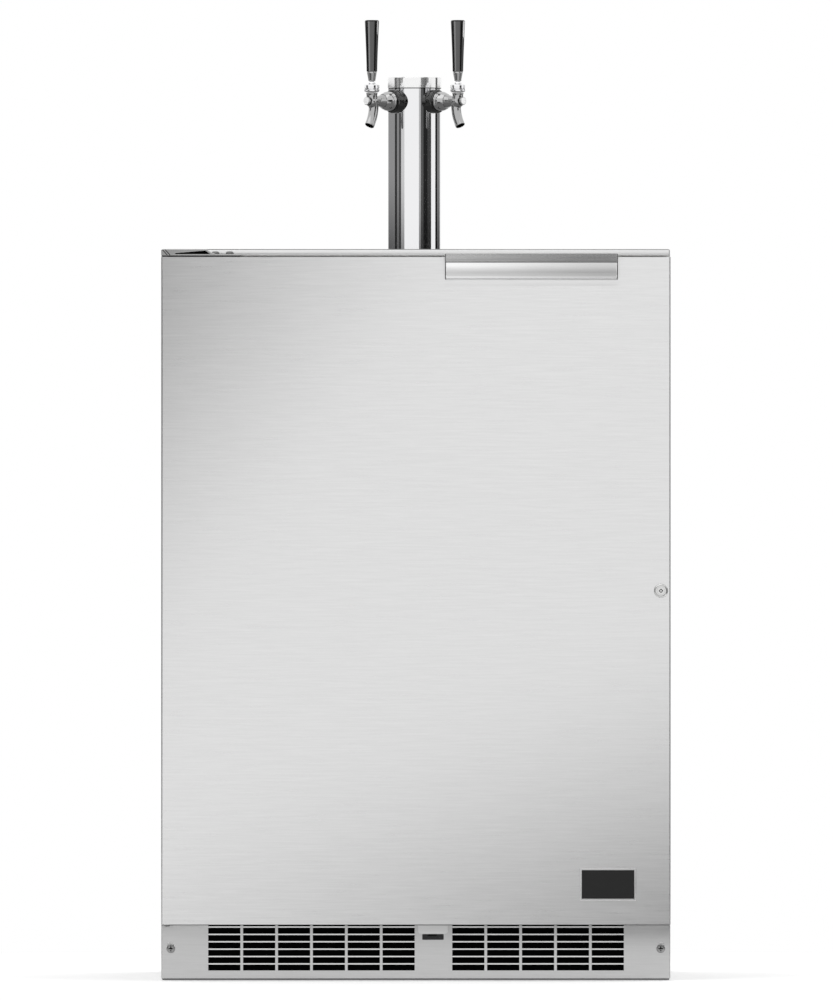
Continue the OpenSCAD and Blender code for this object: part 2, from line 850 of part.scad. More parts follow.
module evaporator_cover() {
    y0 = liner_back - evaporator_d;
    x = evaporator_w / 2;
    z0 = evaporator_top - evaporator_h;
    color("white") {
        difference() {
            block([-x, y0, z0], [x, liner_back, evaporator_top]);
            block(
                [-x + cover_t, y0 + cover_t, z0 + cover_t],
                [x - cover_t, liner_back + cut, evaporator_top - cover_t]);
            translate([0, y0, evaporator_fan_z])
                along_y(cover_t + 2 * cut, evaporator_fan_r + fan_tip_gap, -cut);
            for (i = [-3:3]) block(
                [i * vent_pitch - vent_w / 2, y0 + vent_in, z0 - cut],
                [i * vent_pitch + vent_w / 2, liner_back - vent_in, z0 + cover_t + cut]);
        }
        translate([0, y0 + fan_depth, evaporator_fan_z]) intersection() {
            spider(x);
            block([-x, -cut, -spider_drop], [x, spider_t + cut, evaporator_top - evaporator_fan_z]);
        }
    }
}

module evaporator_coil() {
    z0 = evaporator_top - evaporator_h + cover_t;
    x = evaporator_w / 2 - coil_margin;
    y0 = liner_back - evaporator_d + cover_t + 4;
    color("silver") {
        for (i = [0:fin_count]) translate([-x + i * (2 * x - fin_t) / fin_count, y0, z0])
            cube([fin_t, liner_back - y0, coil_h]);
        for (k = [0.3, 0.7], j = [0.3, 0.7])
            translate([-x, y0 + (liner_back - y0) * k, z0 + coil_h * j]) along_x(2 * x, tube_r);
    }
}

module evaporator_fan() {
    color([0.2, 0.2, 0.2])
        translate([0, liner_back - evaporator_d + fan_gap, evaporator_fan_z])
            fan(evaporator_fan_r, shaft_len);
}

module keg_plate() {
    y0 = front_y + breaker_d + keg_plate_in;
    y1 = liner_back - keg_plate_in;
    color("silver") translate([0, (y0 + y1) / 2, liner_floor])
        linear_extrude(keg_plate_t) round_rect(2 * (liner_x - keg_plate_in), y1 - y0, keg_plate_in);
}

module line_grommet() {
    color("dimgray") at_tower() difference() {
        union() {
            translate([0, 0, liner_top - grommet_t]) cylinder(h = grommet_t, r = line_r + 3 * grommet_t);
            translate([0, 0, liner_top]) cylinder(h = top_wall, r = line_r);
        }
        hole_up(liner_top - grommet_t, top_wall + grommet_t, line_r - grommet_t);
    }
}

module tower_seal() {
    color("black") at_tower() translate([0, 0, cabinet_h]) difference() {
        cylinder(h = seal_t, r = tower_r - seal_in);
        hole_up(0, seal_t, line_r);
        for (a = [0:90:270]) rotate([0, 0, a]) translate([ring_screw_pcd, 0, 0])
            hole_up(0, seal_t, ring_screw_r + fit);
    }
}

module tower_ring() {
    color("gray") at_tower() translate([0, 0, tower_z]) difference() {
        cylinder(h = ring_t, r = tower_in - fit);
        hole_up(0, ring_t, line_r);
        for (a = [0:90:270]) rotate([0, 0, a]) translate([ring_screw_pcd, 0, 0])
            hole_up(0, ring_t, ring_screw_r + fit);
    }
}

module tower_screws() {
    color("silver") at_ring_screws() translate([0, 0, tower_z + ring_t]) {
        translate([0, 0, -ring_screw_len]) cylinder(h = ring_screw_len, r = ring_screw_r);
        cylinder(h = ring_head_t, r = ring_head_r);
    }
}

module tower_column() {
    color("whitesmoke") difference() {
        at_tower() translate([0, 0, tower_z]) cylinder(h = column_top - tower_z, r = tower_r);
        at_tower() translate([0, 0, tower_z - cut]) cylinder(h = tower_h + 2 * cut, r = tower_in);
        for (side = [-1, 1]) at_tap(side) along_x(tower_r, shank_r + fit, tower_in / 2);
    }
}

module tower_cap() {
    r = tower_r + cap_lip;
    color("whitesmoke") at_tower() translate([0, 0, column_top]) {
        cylinder(h = cap_h - cap_bevel, r = r);
        translate([0, 0, cap_h - cap_bevel]) cylinder(h = cap_bevel, r1 = r, r2 = r - cap_bevel);
        difference() {
            translate([0, 0, -cap_plug_h]) cylinder(h = cap_plug_h, r = tower_in - fit);
            translate([0, 0, -cap_plug_h - cut])
                cylinder(h = cap_plug_h + cut, r = tower_in - fit - cap_wall);
        }
    }
}

module shanks() {
    color("gainsboro") for (side = [-1, 1]) at_tap(side) difference() {
        union() {
            along_x(shank_end - shank_in, shank_r, shank_in);
            intersection() {
                along_x(tower_r - saddle_u, saddle_r, saddle_u);
                translate([0, 0, -flange_r]) cylinder(h = 2 * flange_r, r = tower_in - fit);
            }
        }
        along_x(shank_end, shank_bore, shank_in - cut);
    }
}

module tap_flanges() {
    color("gainsboro") for (side = [-1, 1]) at_tap(side) difference() {
        along_x(flange_u - tower_in, flange_r, tower_in);
        translate([0, 0, -2 * flange_r]) cylinder(h = 4 * flange_r, r = tower_r + fit);
        along_x(flange_u, shank_r + fit);
    }
}

module coupling_nuts() {
    color("gainsboro") for (side = [-1, 1]) at_tap(side) difference() {
        along_x(nut_len, nut_r, nut_u0);
        along_x(nut_len - nut_lip + cut, shank_r + fit, nut_u0 - cut);
        along_x(nut_len + 2 * cut, neck_r + fit, nut_u0 - cut);
        for (a = [45:90:315]) rotate([a, 0, 0]) translate([nut_u0 + nut_len / 2, 0, nut_r - spanner_r])
            cylinder(h = 2 * spanner_r, r = spanner_r);
    }
}

module spout_axis() {
    translate([spout_tip_u, 0, -spout_down]) rotate([0, -spout_lean, 0]) children();
}

module faucets() {
    color("gainsboro") for (side = [-1, 1]) at_tap(side) difference() {
        union() {
            along_x(tail_flange, shank_r - fit, shank_end);
            along_x(lever_u - shank_end, neck_r, shank_end);
            translate([nut_u1, 0, 0]) rotate([0, 90, 0]) cylinder(h = neck_cone, r1 = head_r, r2 = neck_r);
            translate([lever_u, 0, 0]) sphere(r = head_r);
            translate([lever_u, 0, 0]) cylinder(h = bonnet_z, r = waist_r);
            translate([lever_u, 0, bonnet_z - collar_h])
                cylinder(h = collar_h, r1 = waist_r, r2 = bonnet_r - collar_in);
            along_x(head_r - cap_proud, button_r + cap_ring, lever_u);
            along_x(head_r, button_r, lever_u);
            spout_axis() cylinder(h = spout_len, r1 = spout_r, r2 = spout_r + spout_swell);
        }
        spout_axis() hole_up(0, spout_len * 0.7, spout_bore);
        along_x(lever_u - shank_end + cut, shank_bore, shank_end - cut);
        translate([lever_u, 0, bonnet_z - collar_h]) cylinder(h = collar_h + cut, r = waist_r - tail_flange);
    }
}

module bonnets() {
    throat = tail_r / cos(lever_swing) + 0.5;
    wide = throat + tail_len * tan(lever_swing);
    color("gainsboro") for (side = [-1, 1]) at_tap(side) translate([lever_u, 0, 0]) difference() {
        translate([0, 0, bonnet_z]) cylinder(h = bonnet_h, r = bonnet_r);
        translate([0, 0, pivot_z]) sphere(r = ball_r + ball_fit);
        translate([0, 0, pivot_z - tail_len]) cylinder(h = tail_len, r1 = wide, r2 = throat);
        translate([0, 0, bonnet_z - cut]) cylinder(h = pivot_z - tail_len - bonnet_z + cut, r = wide);
    }
}

module lever(side) {
    at_tap(side) translate([lever_u, 0, pivot_z]) {
        sphere(r = ball_r);
        translate([0, 0, -tail_len]) cylinder(h = tail_len, r = tail_r);
        cylinder(h = lever_len, r = stem_r);
    }
}

module ferrule(side) {
    at_tap(side) translate([lever_u, 0, ferrule_z]) difference() {
        cylinder(h = ferrule_h, r1 = ferrule_r0, r2 = grip_r0 - ferrule_step);
        translate([0, 0, -cut]) cylinder(h = ferrule_h + 2 * cut, r = stem_r + fit);
    }
}

module grip(side) {
    at_tap(side) translate([lever_u, 0, grip_z]) difference() {
        union() {
            cylinder(h = grip_h - grip_round, r1 = grip_r0, r2 = grip_r1);
            translate([0, 0, grip_h - grip_round])
                cylinder(h = grip_round, r1 = grip_r1, r2 = grip_r1 - grip_round);
        }
        translate([0, 0, -cut]) cylinder(h = pivot_z + lever_len - grip_z + 2 * cut, r = stem_r + fit);
    }
}

module lever_left() {
    color("gainsboro") lever(-1);
}

module lever_right() {
    color("gainsboro") lever(1);
}

module ferrule_left() {
    color("gainsboro") ferrule(-1);
}

module ferrule_right() {
    color("gainsboro") ferrule(1);
}

module grip_left() {
    color([0.05, 0.05, 0.05]) grip(-1);
}

module grip_right() {
    color([0.05, 0.05, 0.05]) grip(1);
}

module at_hinge() {
    translate([hinge_x, hinge_y, 0]) children();
}

// Section of the strap: it lies on the shim at its right end and steps up over it to the pin
module strap_section() {
    x0 = -half_w;
    x1 = x0 + upper_arm_w;
    polygon([
        [x0, arm_z], [x0, arm_top], [x1 - strap_t, arm_top], [x1 + strap_t, arm_z + strap_t],
        [x1 + strap_foot - strap_t, arm_z + strap_t * 0.8], [x1 + strap_foot, arm_z], [x1 - strap_t, arm_z],
        [x1 - 1.5 * strap_t, arm_top - strap_t], [hinge_x + pivot_pad, arm_z + strap_t / 2],
        [hinge_x + pivot_pad, arm_z]]);
}

module upper_hinge() {
    color("gainsboro") {
        difference() {
            block([-half_w, front_y - leaf_t, leaf_z], [-half_w + leaf_w, front_y, arm_top]);
            at_hinge_screws() along_y(leaf_t + 2 * cut, hinge_screw_r + fit, -leaf_t - cut);
        }
        translate([0, front_y, 0]) rotate([90, 0, 0]) linear_extrude(front_y - upper_arm_y) strap_section();
        at_hinge() translate([0, 0, door_top - pin_in]) cylinder(h = arm_top - door_top + pin_in, r = pin_r);
    }
}

module hinge_shim() {
    color("black") difference() {
        block(
            [-half_w + shim_t, upper_arm_y + shim_t, shim_z],
            [-half_w + leaf_w, front_y - leaf_t, arm_z]);
        at_hinge() hole_up(shim_z, shim_t, pin_r + fit);
        at_strap_screw() hole_up(shim_z, shim_t, hinge_screw_r + fit);
    }
}

module hinge_screws() {
    color("gray") {
        at_hinge_screws() {
            along_y(hinge_head_t, hinge_head_r, -leaf_t - hinge_head_t);
            along_y(hinge_screw_len + leaf_t, hinge_screw_r, -leaf_t);
        }
        at_strap_screw() {
            translate([0, 0, shim_z]) cylinder(h = shim_t, r = hinge_screw_r);
            translate([0, 0, arm_z])
                cylinder(h = strap_head_t, r1 = strap_head_r, r2 = strap_head_r - strap_head_t / 3);
        }
    }
}

module lower_hinge() {
    color("dimgray") {
        at_hinge() translate([0, 0, door_z]) cylinder(h = arm_t, r = arm_r);
        block([hinge_x - arm_r, hinge_y, door_z], [hinge_x + arm_r, front_y, door_z + arm_t]);
        block(
            [-half_w, front_y - leaf_t, door_z],
            [-half_w + lower_leaf_w, front_y, machine_h + lower_leaf_up]);
        at_hinge() translate([0, 0, door_z + arm_t]) cylinder(h = pin_in, r = pin_r);
        at_hinge() translate([0, 0, door_z - pin_head_h])
            cylinder(h = pin_head_h, r1 = pin_head_r - pin_head_h / 2, r2 = pin_head_r);
    }
}

// The space in the door's lower corner that the lower hinge's arm swings through
module hinge_notch() {
    block([-half_w - cut, notch_y, door_z - cut], [notch_x, door_back_y + cut, door_z + notch_h]);
}

module bush_spaces(r) {
    at_hinge() translate([0, 0, door_top - pin_in - cut]) cylinder(h = pin_in + 2 * cut, r = r);
    at_hinge() translate([0, 0, door_z - cut]) cylinder(h = arm_t + pin_in + 2 * cut, r = r);
}

module lock_space(r) {
    translate([lock_x, 0, lock_z]) along_y(door_t + 2 * cut, r, door_face_y - cut);
}

module door_block(inset, y0, y1) {
    depth = y1 - y0;
    height = door_top - door_z - 2 * inset;
    translate([0, (y0 + y1) / 2, door_z + inset]) linear_extrude(height) intersection() {
        translate([0, depth / 2])
            round_rect(cabinet_w - 2 * inset, 2 * depth, max(door_edge_r - inset, fit));
        square([cabinet_w, depth], center = true);
    }
}

module door_skin() {
    color("silver") difference() {
        door_block(0, door_face_y, door_back_y - door_liner_t);
        door_block(sheet, door_face_y + sheet, door_back_y + cut);
        hinge_notch();
        bush_spaces(bush_hole_r);
        lock_space(barrel_r + fit);
    }
}

module plug_block(inset, y1) {
    x = liner_x - plug_gap - inset;
    block(
        [-x, door_back_y - door_liner_t, liner_floor + plug_gap + inset],
        [x, y1, liner_top - plug_gap - inset]);
}

module door_foam() {
    color("khaki") {
        difference() {
            door_block(sheet, door_face_y + sheet, door_back_y - door_liner_t);
            hinge_notch();
            bush_spaces(bush_hole_r);
            lock_space(barrel_r + fit);
        }
        plug_block(door_liner_t, door_back_y + plug_d - door_liner_t);
    }
}

module door_liner() {
    color("gainsboro") difference() {
        union() {
            block([-half_w, door_back_y - door_liner_t, door_z], [half_w, door_back_y, door_top]);
            plug_block(0, door_back_y + plug_d);
        }
        plug_block(door_liner_t, door_back_y + plug_d - door_liner_t);
        hinge_notch();
        lock_space(barrel_r + fit);
    }
}

module door_gasket() {
    color("dimgray") upright_ring(
        open_x + gasket_w, open_floor - gasket_w, open_top + gasket_w,
        open_x, open_floor, open_top, door_back_y, front_y);
}

module handle_section() {
    intersection() {
        translate(belly_centre) circle(belly_r);
        square([handle_out, crease_z]);
    }
    intersection() {
        translate([crease_out, crease_z]) rotate(lip_angle)
            translate([-crease_out * 2, 0]) square([lip_run * 3, lip_t]);
        translate([0, crease_z - lip_t]) square([handle_out, lip_h + lip_t]);
    }
}

module pull_handle() {
    color("silver") translate([handle_x - handle_w / 2, door_face_y, door_top + lip_up - handle_h])
        rotate([90, 0, 90]) linear_extrude(handle_w) mirror([1, 0]) handle_section();
}

module badge_plate() {
    bevel = 0.8;
    x1 = half_w - badge_side;
    z0 = door_z + badge_up;
    color([0.19, 0.19, 0.19]) difference() {
        block([x1 - badge_w, door_face_y - badge_t, z0], [x1, door_face_y, z0 + badge_h]);
        block(
            [x1 - badge_w + 3 * bevel, door_face_y - badge_t - cut, z0 + 3 * bevel],
            [x1 - 3 * bevel, door_face_y - badge_t + bevel, z0 + badge_h - 3 * bevel]);
    }
}

module hinge_bushes() {
    color("whitesmoke") difference() {
        at_hinge() {
            translate([0, 0, door_top - pin_in]) cylinder(h = pin_in, r = bush_r);
            translate([0, 0, door_z + arm_t]) cylinder(h = pin_in, r = bush_r);
        }
        bush_spaces(pin_r + pin_fit);
    }
}

module lock_barrel() {
    bevel = 1.2;
    color("silver") translate([lock_x, 0, lock_z]) difference() {
        union() {
            along_y(door_t, barrel_r, door_face_y);
            along_y(lock_face_t - bevel, lock_r, door_face_y - lock_face_t + bevel);
            translate([0, door_face_y - lock_face_t + bevel, 0]) rotate([90, 0, 0])
                cylinder(h = bevel, r1 = lock_r, r2 = lock_r - bevel);
        }
        along_y(door_t + lock_face_t + 2 * cut, plug_r + plug_fit, door_face_y - lock_face_t - cut);
    }
}

module lock_plug() {
    key = 2;
    plug_y = door_face_y - lock_face_t + 0.3;
    color("silver") translate([lock_x, 0, lock_z]) {
        difference() {
            along_y(door_back_y - plug_y, plug_r, plug_y);
            block([-key / 2, plug_y - cut, -key / 2], [key / 2, plug_y + 4, key / 2]);
        }
        along_y(cam_y - door_back_y, cam_stem_r, door_back_y);
        along_y(cam_t, cam_w / 2, cam_y);
        block([-cam_w / 2, cam_y, 0], [cam_w / 2, cam_y + cam_t, cam_len]);
    }
}

module strike_box() {
    wall = [strike_wall, strike_wall, strike_wall];
    color("gray") difference() {
        block(strike_lo, strike_hi);
        block(
            [strike_lo[0] + strike_wall, front_y, strike_lo[2] + strike_wall],
            strike_hi - wall);
    }
}

cabinet_wrap();
back_panel();
front_frame();
breaker_frame();
liner();
foam_body();
deck_plate();
base_pan();
levelling_feet();
kick_plate();
kick_brackets();
kick_screws();
control_tab();
display_lens();
control_module();
power_button();
condenser();
condenser_shroud();
condenser_fan();
compressor();
compressor_mounts();
discharge_pipe();
drain_pan();
evaporator_cover();
evaporator_coil();
evaporator_fan();
keg_plate();
line_grommet();
mains_gland();
tower_seal();
tower_ring();
tower_screws();
tower_column();
tower_cap();
shanks();
tap_flanges();
coupling_nuts();
faucets();
bonnets();
lever_left();
lever_right();
ferrule_left();
ferrule_right();
grip_left();
grip_right();
upper_hinge();
hinge_shim();
hinge_screws();
lower_hinge();
door_skin();
door_foam();
door_liner();
door_gasket();
pull_handle();
badge_plate();
hinge_bushes();
lock_barrel();
lock_plug();
strike_box();
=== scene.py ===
import math
from types import SimpleNamespace

import bmesh
import bpy
from mathutils import Matrix, Vector


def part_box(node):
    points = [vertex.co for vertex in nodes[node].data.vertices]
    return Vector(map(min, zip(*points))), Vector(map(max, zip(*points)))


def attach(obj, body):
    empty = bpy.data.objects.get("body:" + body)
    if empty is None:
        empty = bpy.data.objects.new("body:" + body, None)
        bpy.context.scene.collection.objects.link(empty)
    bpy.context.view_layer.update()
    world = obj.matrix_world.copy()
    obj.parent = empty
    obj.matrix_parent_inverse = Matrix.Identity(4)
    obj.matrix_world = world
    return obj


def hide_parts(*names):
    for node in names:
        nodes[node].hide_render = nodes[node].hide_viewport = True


# Draft beer dispenser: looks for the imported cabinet, door, tower and taps.
# Pieces are in millimetres in the CAD frame, and finishPiece turns them into metres. The studio is in metres.

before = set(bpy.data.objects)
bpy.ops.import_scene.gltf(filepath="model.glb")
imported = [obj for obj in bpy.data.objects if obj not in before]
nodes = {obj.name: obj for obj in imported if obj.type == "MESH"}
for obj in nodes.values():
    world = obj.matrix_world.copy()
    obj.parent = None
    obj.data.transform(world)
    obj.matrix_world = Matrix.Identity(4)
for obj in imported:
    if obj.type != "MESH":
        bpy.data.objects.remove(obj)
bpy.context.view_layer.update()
scene = bpy.context.scene
print("frame loaded with", len(nodes), "CAD nodes")

xAxis, yAxis, zAxis = range(3)
origin, outX, outY, outZ = (0, 0, 0), (1, 0, 0), (0, 1, 0), (0, 0, 1)
weld = 0.0005                                             # points closer than this become one
faceFront = Matrix.Rotation(math.radians(90), 4, "X")     # +Z of a part becomes -Y
faceBack = Matrix.Rotation(math.radians(-90), 4, "X")     # +Z of a part becomes +Y


# Mesh helpers

def sized(piece):
    # lets the code read a piece's dictionary as s.width
    return SimpleNamespace(**piece)


def roundEdges(bm, edges, width, segments=3):
    bmesh.ops.bevel(bm, geom=edges, offset=width, offset_type="OFFSET", segments=segments,
                    profile=0.5, affect="EDGES", material=-1, clamp_overlap=True)


def sharpEdges(bm, degrees=35):
    return [e for e in bm.edges if len(e.link_faces) == 2 and e.calc_face_angle(0) > math.radians(degrees)]


def rimEdges(bm):
    return [e for e in bm.edges if len(e.link_faces) == 1]


def addBox(bm, lo, hi, edge=0.0, segments=3, pick=None):
    verts = bmesh.ops.create_cube(bm, size=1.0)["verts"]
    lo, hi = Vector(lo), Vector(hi)
    bmesh.ops.scale(bm, vec=hi - lo, verts=verts)
    bmesh.ops.translate(bm, vec=(lo + hi) / 2, verts=verts)
    if edge:
        edges = dict.fromkeys(e for v in verts for e in v.link_edges)
        edges = [e for e in edges if pick is None or pick((e.verts[0].co + e.verts[1].co) / 2, e)]
        roundEdges(bm, edges, edge, segments)
    return bm


def box(*measures):
    return addBox(bmesh.new(), *measures)


# Which edges of a box are rounded, by the edge's middle or direction

def along(axis, least=1.0):
    return lambda mid, e: abs(e.verts[0].co[axis] - e.verts[1].co[axis]) > least


def below(axis, limit):
    return lambda mid, e: mid[axis] < limit


def above(axis, limit):
    return lambda mid, e: mid[axis] > limit


def near(r, h, *offsets):
    # points of a profile, measured from one radius and height
    return [(r + dr, h + dh) for dr, dh in offsets]


def addTurned(bm, profile, at=origin, axis=outZ, steps=64):
    # profile holds (radius, height along the axis)
    turn = Vector(axis).to_track_quat("Z", "Y").to_matrix()
    at = Vector(at)
    verts = [bm.verts.new(at + turn @ Vector((r, 0, h))) for r, h in profile]
    edges = [bm.edges.new(pair) for pair in zip(verts, verts[1:])]
    bmesh.ops.spin(bm, geom=verts + edges, cent=at, axis=axis, dvec=origin, angle=2 * math.pi,
                   steps=steps, use_merge=True, use_normal_flip=False, use_duplicate=False)
    bmesh.ops.remove_doubles(bm, verts=bm.verts, dist=weld)


def turned(profile, at=origin, axis=outZ, steps=64, edge=0.0, segments=2):
    bm = bmesh.new()
    addTurned(bm, profile, at, axis, steps)
    if edge:
        roundEdges(bm, sharpEdges(bm), edge, segments)
    return bm


def rod(radius, low, high, at=origin, axis=outZ, steps=64):
    return turned([(0, low), (radius, low), (radius, high), (0, high)], at, axis, steps)


def tube(inner, outer, low, high, at=origin, steps=64, edge=0.0):
    ring = [(inner, low), (outer, low), (outer, high), (inner, high), (inner, low)]
    return turned(ring, at, steps=steps, edge=edge)


def prism(outline, reach, edge=0.0, segments=3, limit=35):
    bm = bmesh.new()
    face = bm.faces.new([bm.verts.new(p) for p in outline])
    made = bmesh.ops.extrude_face_region(bm, geom=[face])["geom"]
    bmesh.ops.translate(bm, vec=reach, verts=newVerts(made))
    if edge:
        roundEdges(bm, sharpEdges(bm, limit), edge, segments)
    return bm


def newVerts(made):
    return [v for v in made if isinstance(v, bmesh.types.BMVert)]


def moved(part, matrix):
    bmesh.ops.transform(part, matrix=matrix, verts=part.verts)
    return part


def addInto(bm, part, matrix=None):
    if matrix:
        moved(part, matrix)
    work = bpy.data.meshes.new("work")
    part.to_mesh(work)
    part.free()
    bm.from_mesh(work)
    bpy.data.meshes.remove(work)


def spun(degrees):
    return Matrix.Rotation(math.radians(degrees), 4, "Z")


def onFront(*at):
    return Matrix.Translation(at) @ faceFront


def onBack(*at):
    return Matrix.Translation(at) @ faceBack


def inset(bm, faces, thickness, depth=0.0, edge=False):
    bmesh.ops.inset_region(bm, faces=faces, thickness=thickness, depth=depth, use_even_offset=True,
                           use_boundary=edge)


def paint(bm, index, test=lambda face, at: True):
    for face in bm.faces:
        if test(face, face.calc_center_median()):
            face.material_index = index
    return bm


def workObject(bm):
    mesh = bpy.data.meshes.new("work")
    bmesh.ops.recalc_face_normals(bm, faces=bm.faces)
    bm.to_mesh(mesh)
    bm.free()
    obj = bpy.data.objects.new("work", mesh)
    scene.collection.objects.link(obj)
    return obj


def takeResult(*work):
    # the first object with its modifiers applied; all of them are removed
    result = bmesh.new()
    result.from_object(work[0], bpy.context.evaluated_depsgraph_get())
    for obj in work:
        mesh = obj.data
        bpy.data.objects.remove(obj)
        bpy.data.meshes.remove(mesh)
    return result


def cutAway(bm, cutter):
    solid, tool = workObject(bm), workObject(cutter)
    modifier = solid.modifiers.new("cut", "BOOLEAN")
    modifier.operation, modifier.solver, modifier.object = "DIFFERENCE", "EXACT", tool
    return takeResult(solid, tool)


def castTogether(bm, voxel, passes):
    # melts overlapping solids into one casting with soft roots
    solid = workObject(bm)
    remesh = solid.modifiers.new("melt", "REMESH")
    remesh.mode, remesh.voxel_size = "VOXEL", voxel
    smooth = solid.modifiers.new("soft", "SMOOTH")
    smooth.factor, smooth.iterations = 0.5, passes
    return takeResult(solid)


def finishPiece(bm, name, looks, body, slot, *stands, sharp=48, recalc=True):
    # looks names one finish, or several in the order of the faces' material indices
    bmesh.ops.remove_doubles(bm, verts=bm.verts, dist=weld)
    if recalc:
        bmesh.ops.recalc_face_normals(bm, faces=bm.faces)
    bmesh.ops.scale(bm, vec=(0.001, 0.001, 0.001), verts=bm.verts)
    for face in bm.faces:
        face.smooth = True
    for edge in bm.edges:
        edge.smooth = len(edge.link_faces) == 2 and edge.calc_face_angle(0) < math.radians(sharp)
    mesh = bpy.data.meshes.new(name)
    bm.to_mesh(mesh)
    bm.free()
    for look in looks.split():
        mesh.materials.append(finish[look])
    obj = bpy.data.objects.new(name, mesh)
    scene.collection.objects.link(obj)
    weighted = obj.modifiers.new("faceNormals", "WEIGHTED_NORMAL")
    weighted.keep_sharp = True
    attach(obj, body)
    if stands:
        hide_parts(*stands)
    return obj


def arc(centre, radius, start, end, count):
    steps = [math.radians(start + (end - start) * i / count) for i in range(count + 1)]
    return [(centre[0] + radius * math.cos(a), centre[1] + radius * math.sin(a)) for a in steps]


# A low pan head with a cross recess, its seat at z 0; the sizes are shares of its radius and height

panHead = {"under": -0.6, "dome": ((1.0, 0.3), (0.95, 0.62), (0.83, 0.86), (0.66, 1.0)),
           "long": 0.58, "wide": 0.15, "floor": 0.2, "over": 2.0, "dark": (0.6, -0.5, 0.95)}


def panScrew(radius, height):
    p = sized(panHead)
    dome = [(radius * r, height * h) for r, h in p.dome]
    bm = turned([(0, p.under), (radius, p.under), *dome, (0, height)], steps=32)
    for x, y in ((p.long, p.wide), (p.wide, p.long)):
        bar = box((-radius * x, -radius * y, height * p.floor), (radius * x, radius * y, height + p.over))
        bm = cutAway(bm, bar)
    # painted shade: the recess keeps the second finish, a black for the shade in it
    reach, low, high = p.dark
    return paint(bm, 1, lambda face, at: at.xy.length < radius * reach and low < at.z < height * high)


# Shader groups that the finishes share

def feed(tree, socket, value):
    # another node's output is linked to the socket, and a plain value is set on it
    if isinstance(value, bpy.types.NodeSocket):
        tree.links.new(value, socket)
    else:
        socket.default_value = value


def newNode(tree, kind, **given):
    # given names sockets, with _ for a space
    node = tree.nodes.new("ShaderNode" + kind)
    for label, value in given.items():
        feed(tree, node.inputs[label.replace("_", " ")], value)
    return node


def newGroup(name, inputs, outputs):
    tree = bpy.data.node_groups.new(name, "ShaderNodeTree")
    for label, kind, value in inputs:
        tree.interface.new_socket(label, in_out="INPUT", socket_type=kind).default_value = value
    for label, kind in outputs:
        tree.interface.new_socket(label, in_out="OUTPUT", socket_type=kind)
    return tree, tree.nodes.new("NodeGroupInput"), tree.nodes.new("NodeGroupOutput")


def mathNode(tree, operation, *values, clamp=False):
    node = newNode(tree, "Math")
    node.operation, node.use_clamp = operation, clamp
    for socket, value in zip(node.inputs, values):
        feed(tree, socket, value)
    return node.outputs[0]


def vectorNode(tree, operation, *values, **given):
    node = newNode(tree, "VectorMath")
    node.operation = operation
    for socket, value in zip(node.inputs, values):
        feed(tree, socket, value)
    for label, value in given.items():
        feed(tree, node.inputs[label], value)
    return node.outputs


def noiseNode(tree, vector, scale, detail=3.0, roughness=0.5):
    return newNode(tree, "TexNoise", Vector=vector, Scale=scale, Detail=detail, Roughness=roughness).outputs["Fac"]


def cellNode(tree, vector, scale, wanted):
    value = newNode(tree, "TexVoronoi", Vector=vector, Scale=scale).outputs[wanted]
    return newNode(tree, "SeparateColor", Color=value).outputs[0] if wanted == "Color" else value


# fine and broad hold a noise's scale, detail and roughness, and cells a scale and an output

textures = {
    "brush": {"name": "brushLines", "fine": (1.0, 4.0, 0.62), "broad": (1.0, 3.0), "squeeze": (0.8, 0.45, 0.45)},
    "wipe": {"name": "wipeMarks", "fine": (60.0, 5.0, 0.6), "broad": (9.0, 3.0)},
    "grain": {"name": "mouldGrain", "fine": (900.0, 2.0), "broad": (14.0, 4.0)},
    "spangle": {"name": "zincSpangle", "cells": (70.0, "Color"), "broad": (12.0, 3.0)},
    "cell": {"name": "foamCells", "cells": (420.0, "Distance"), "broad": (30.0, 3.0)},
}
fineShare, broadShare = 0.6, 0.4


def shadeGroup(texture):
    # every finish group takes the same inputs and gives colour, roughness and height
    tree, into, out = newGroup(
        texture["name"],
        [("Vector", "NodeSocketVector", origin), ("Tone", "NodeSocketColor", (0.8, 0.8, 0.8, 1)),
         ("Contrast", "NodeSocketFloat", 0.1), ("Gloss", "NodeSocketFloat", 0.3),
         ("Spread", "NodeSocketFloat", 0.1)],
        [("Color", "NodeSocketColor"), ("Roughness", "NodeSocketFloat"), ("Height", "NodeSocketFloat")])
    given = into.outputs
    vector = given["Vector"]
    if "cells" in texture:
        fine = cellNode(tree, vector, *texture["cells"])
    else:
        fine = noiseNode(tree, vector, *texture["fine"])
    if "squeeze" in texture:
        vector = vectorNode(tree, "MULTIPLY", vector, texture["squeeze"])[0]
    broad = mathNode(tree, "MULTIPLY", noiseNode(tree, vector, *texture["broad"]), broadShare)
    swing = mathNode(tree, "SUBTRACT", mathNode(tree, "MULTIPLY_ADD", fine, fineShare, broad), 0.5)
    gain = mathNode(tree, "MULTIPLY_ADD", swing, given["Contrast"], 1.0)
    feed(tree, out.inputs["Color"], vectorNode(tree, "SCALE", given["Tone"], Scale=gain)[0])
    rough = mathNode(tree, "MULTIPLY_ADD", swing, given["Spread"], given["Gloss"], clamp=True)
    feed(tree, out.inputs["Roughness"], rough)
    feed(tree, out.inputs["Height"], fine)
    return tree


groups = {label: shadeGroup(texture) for label, texture in textures.items()}
print("shader groups:", ", ".join(groups))


# Finishes

even = (1, 1, 1)
acrossFront = (24.0, 700.0, 700.0)   # brush lines run left to right
alongDepth = (700.0, 24.0, 700.0)    # brush lines run front to back
coarseFront = (12.0, 280.0, 280.0)   # wider lines, left to right
reliefDepth = 0.0002


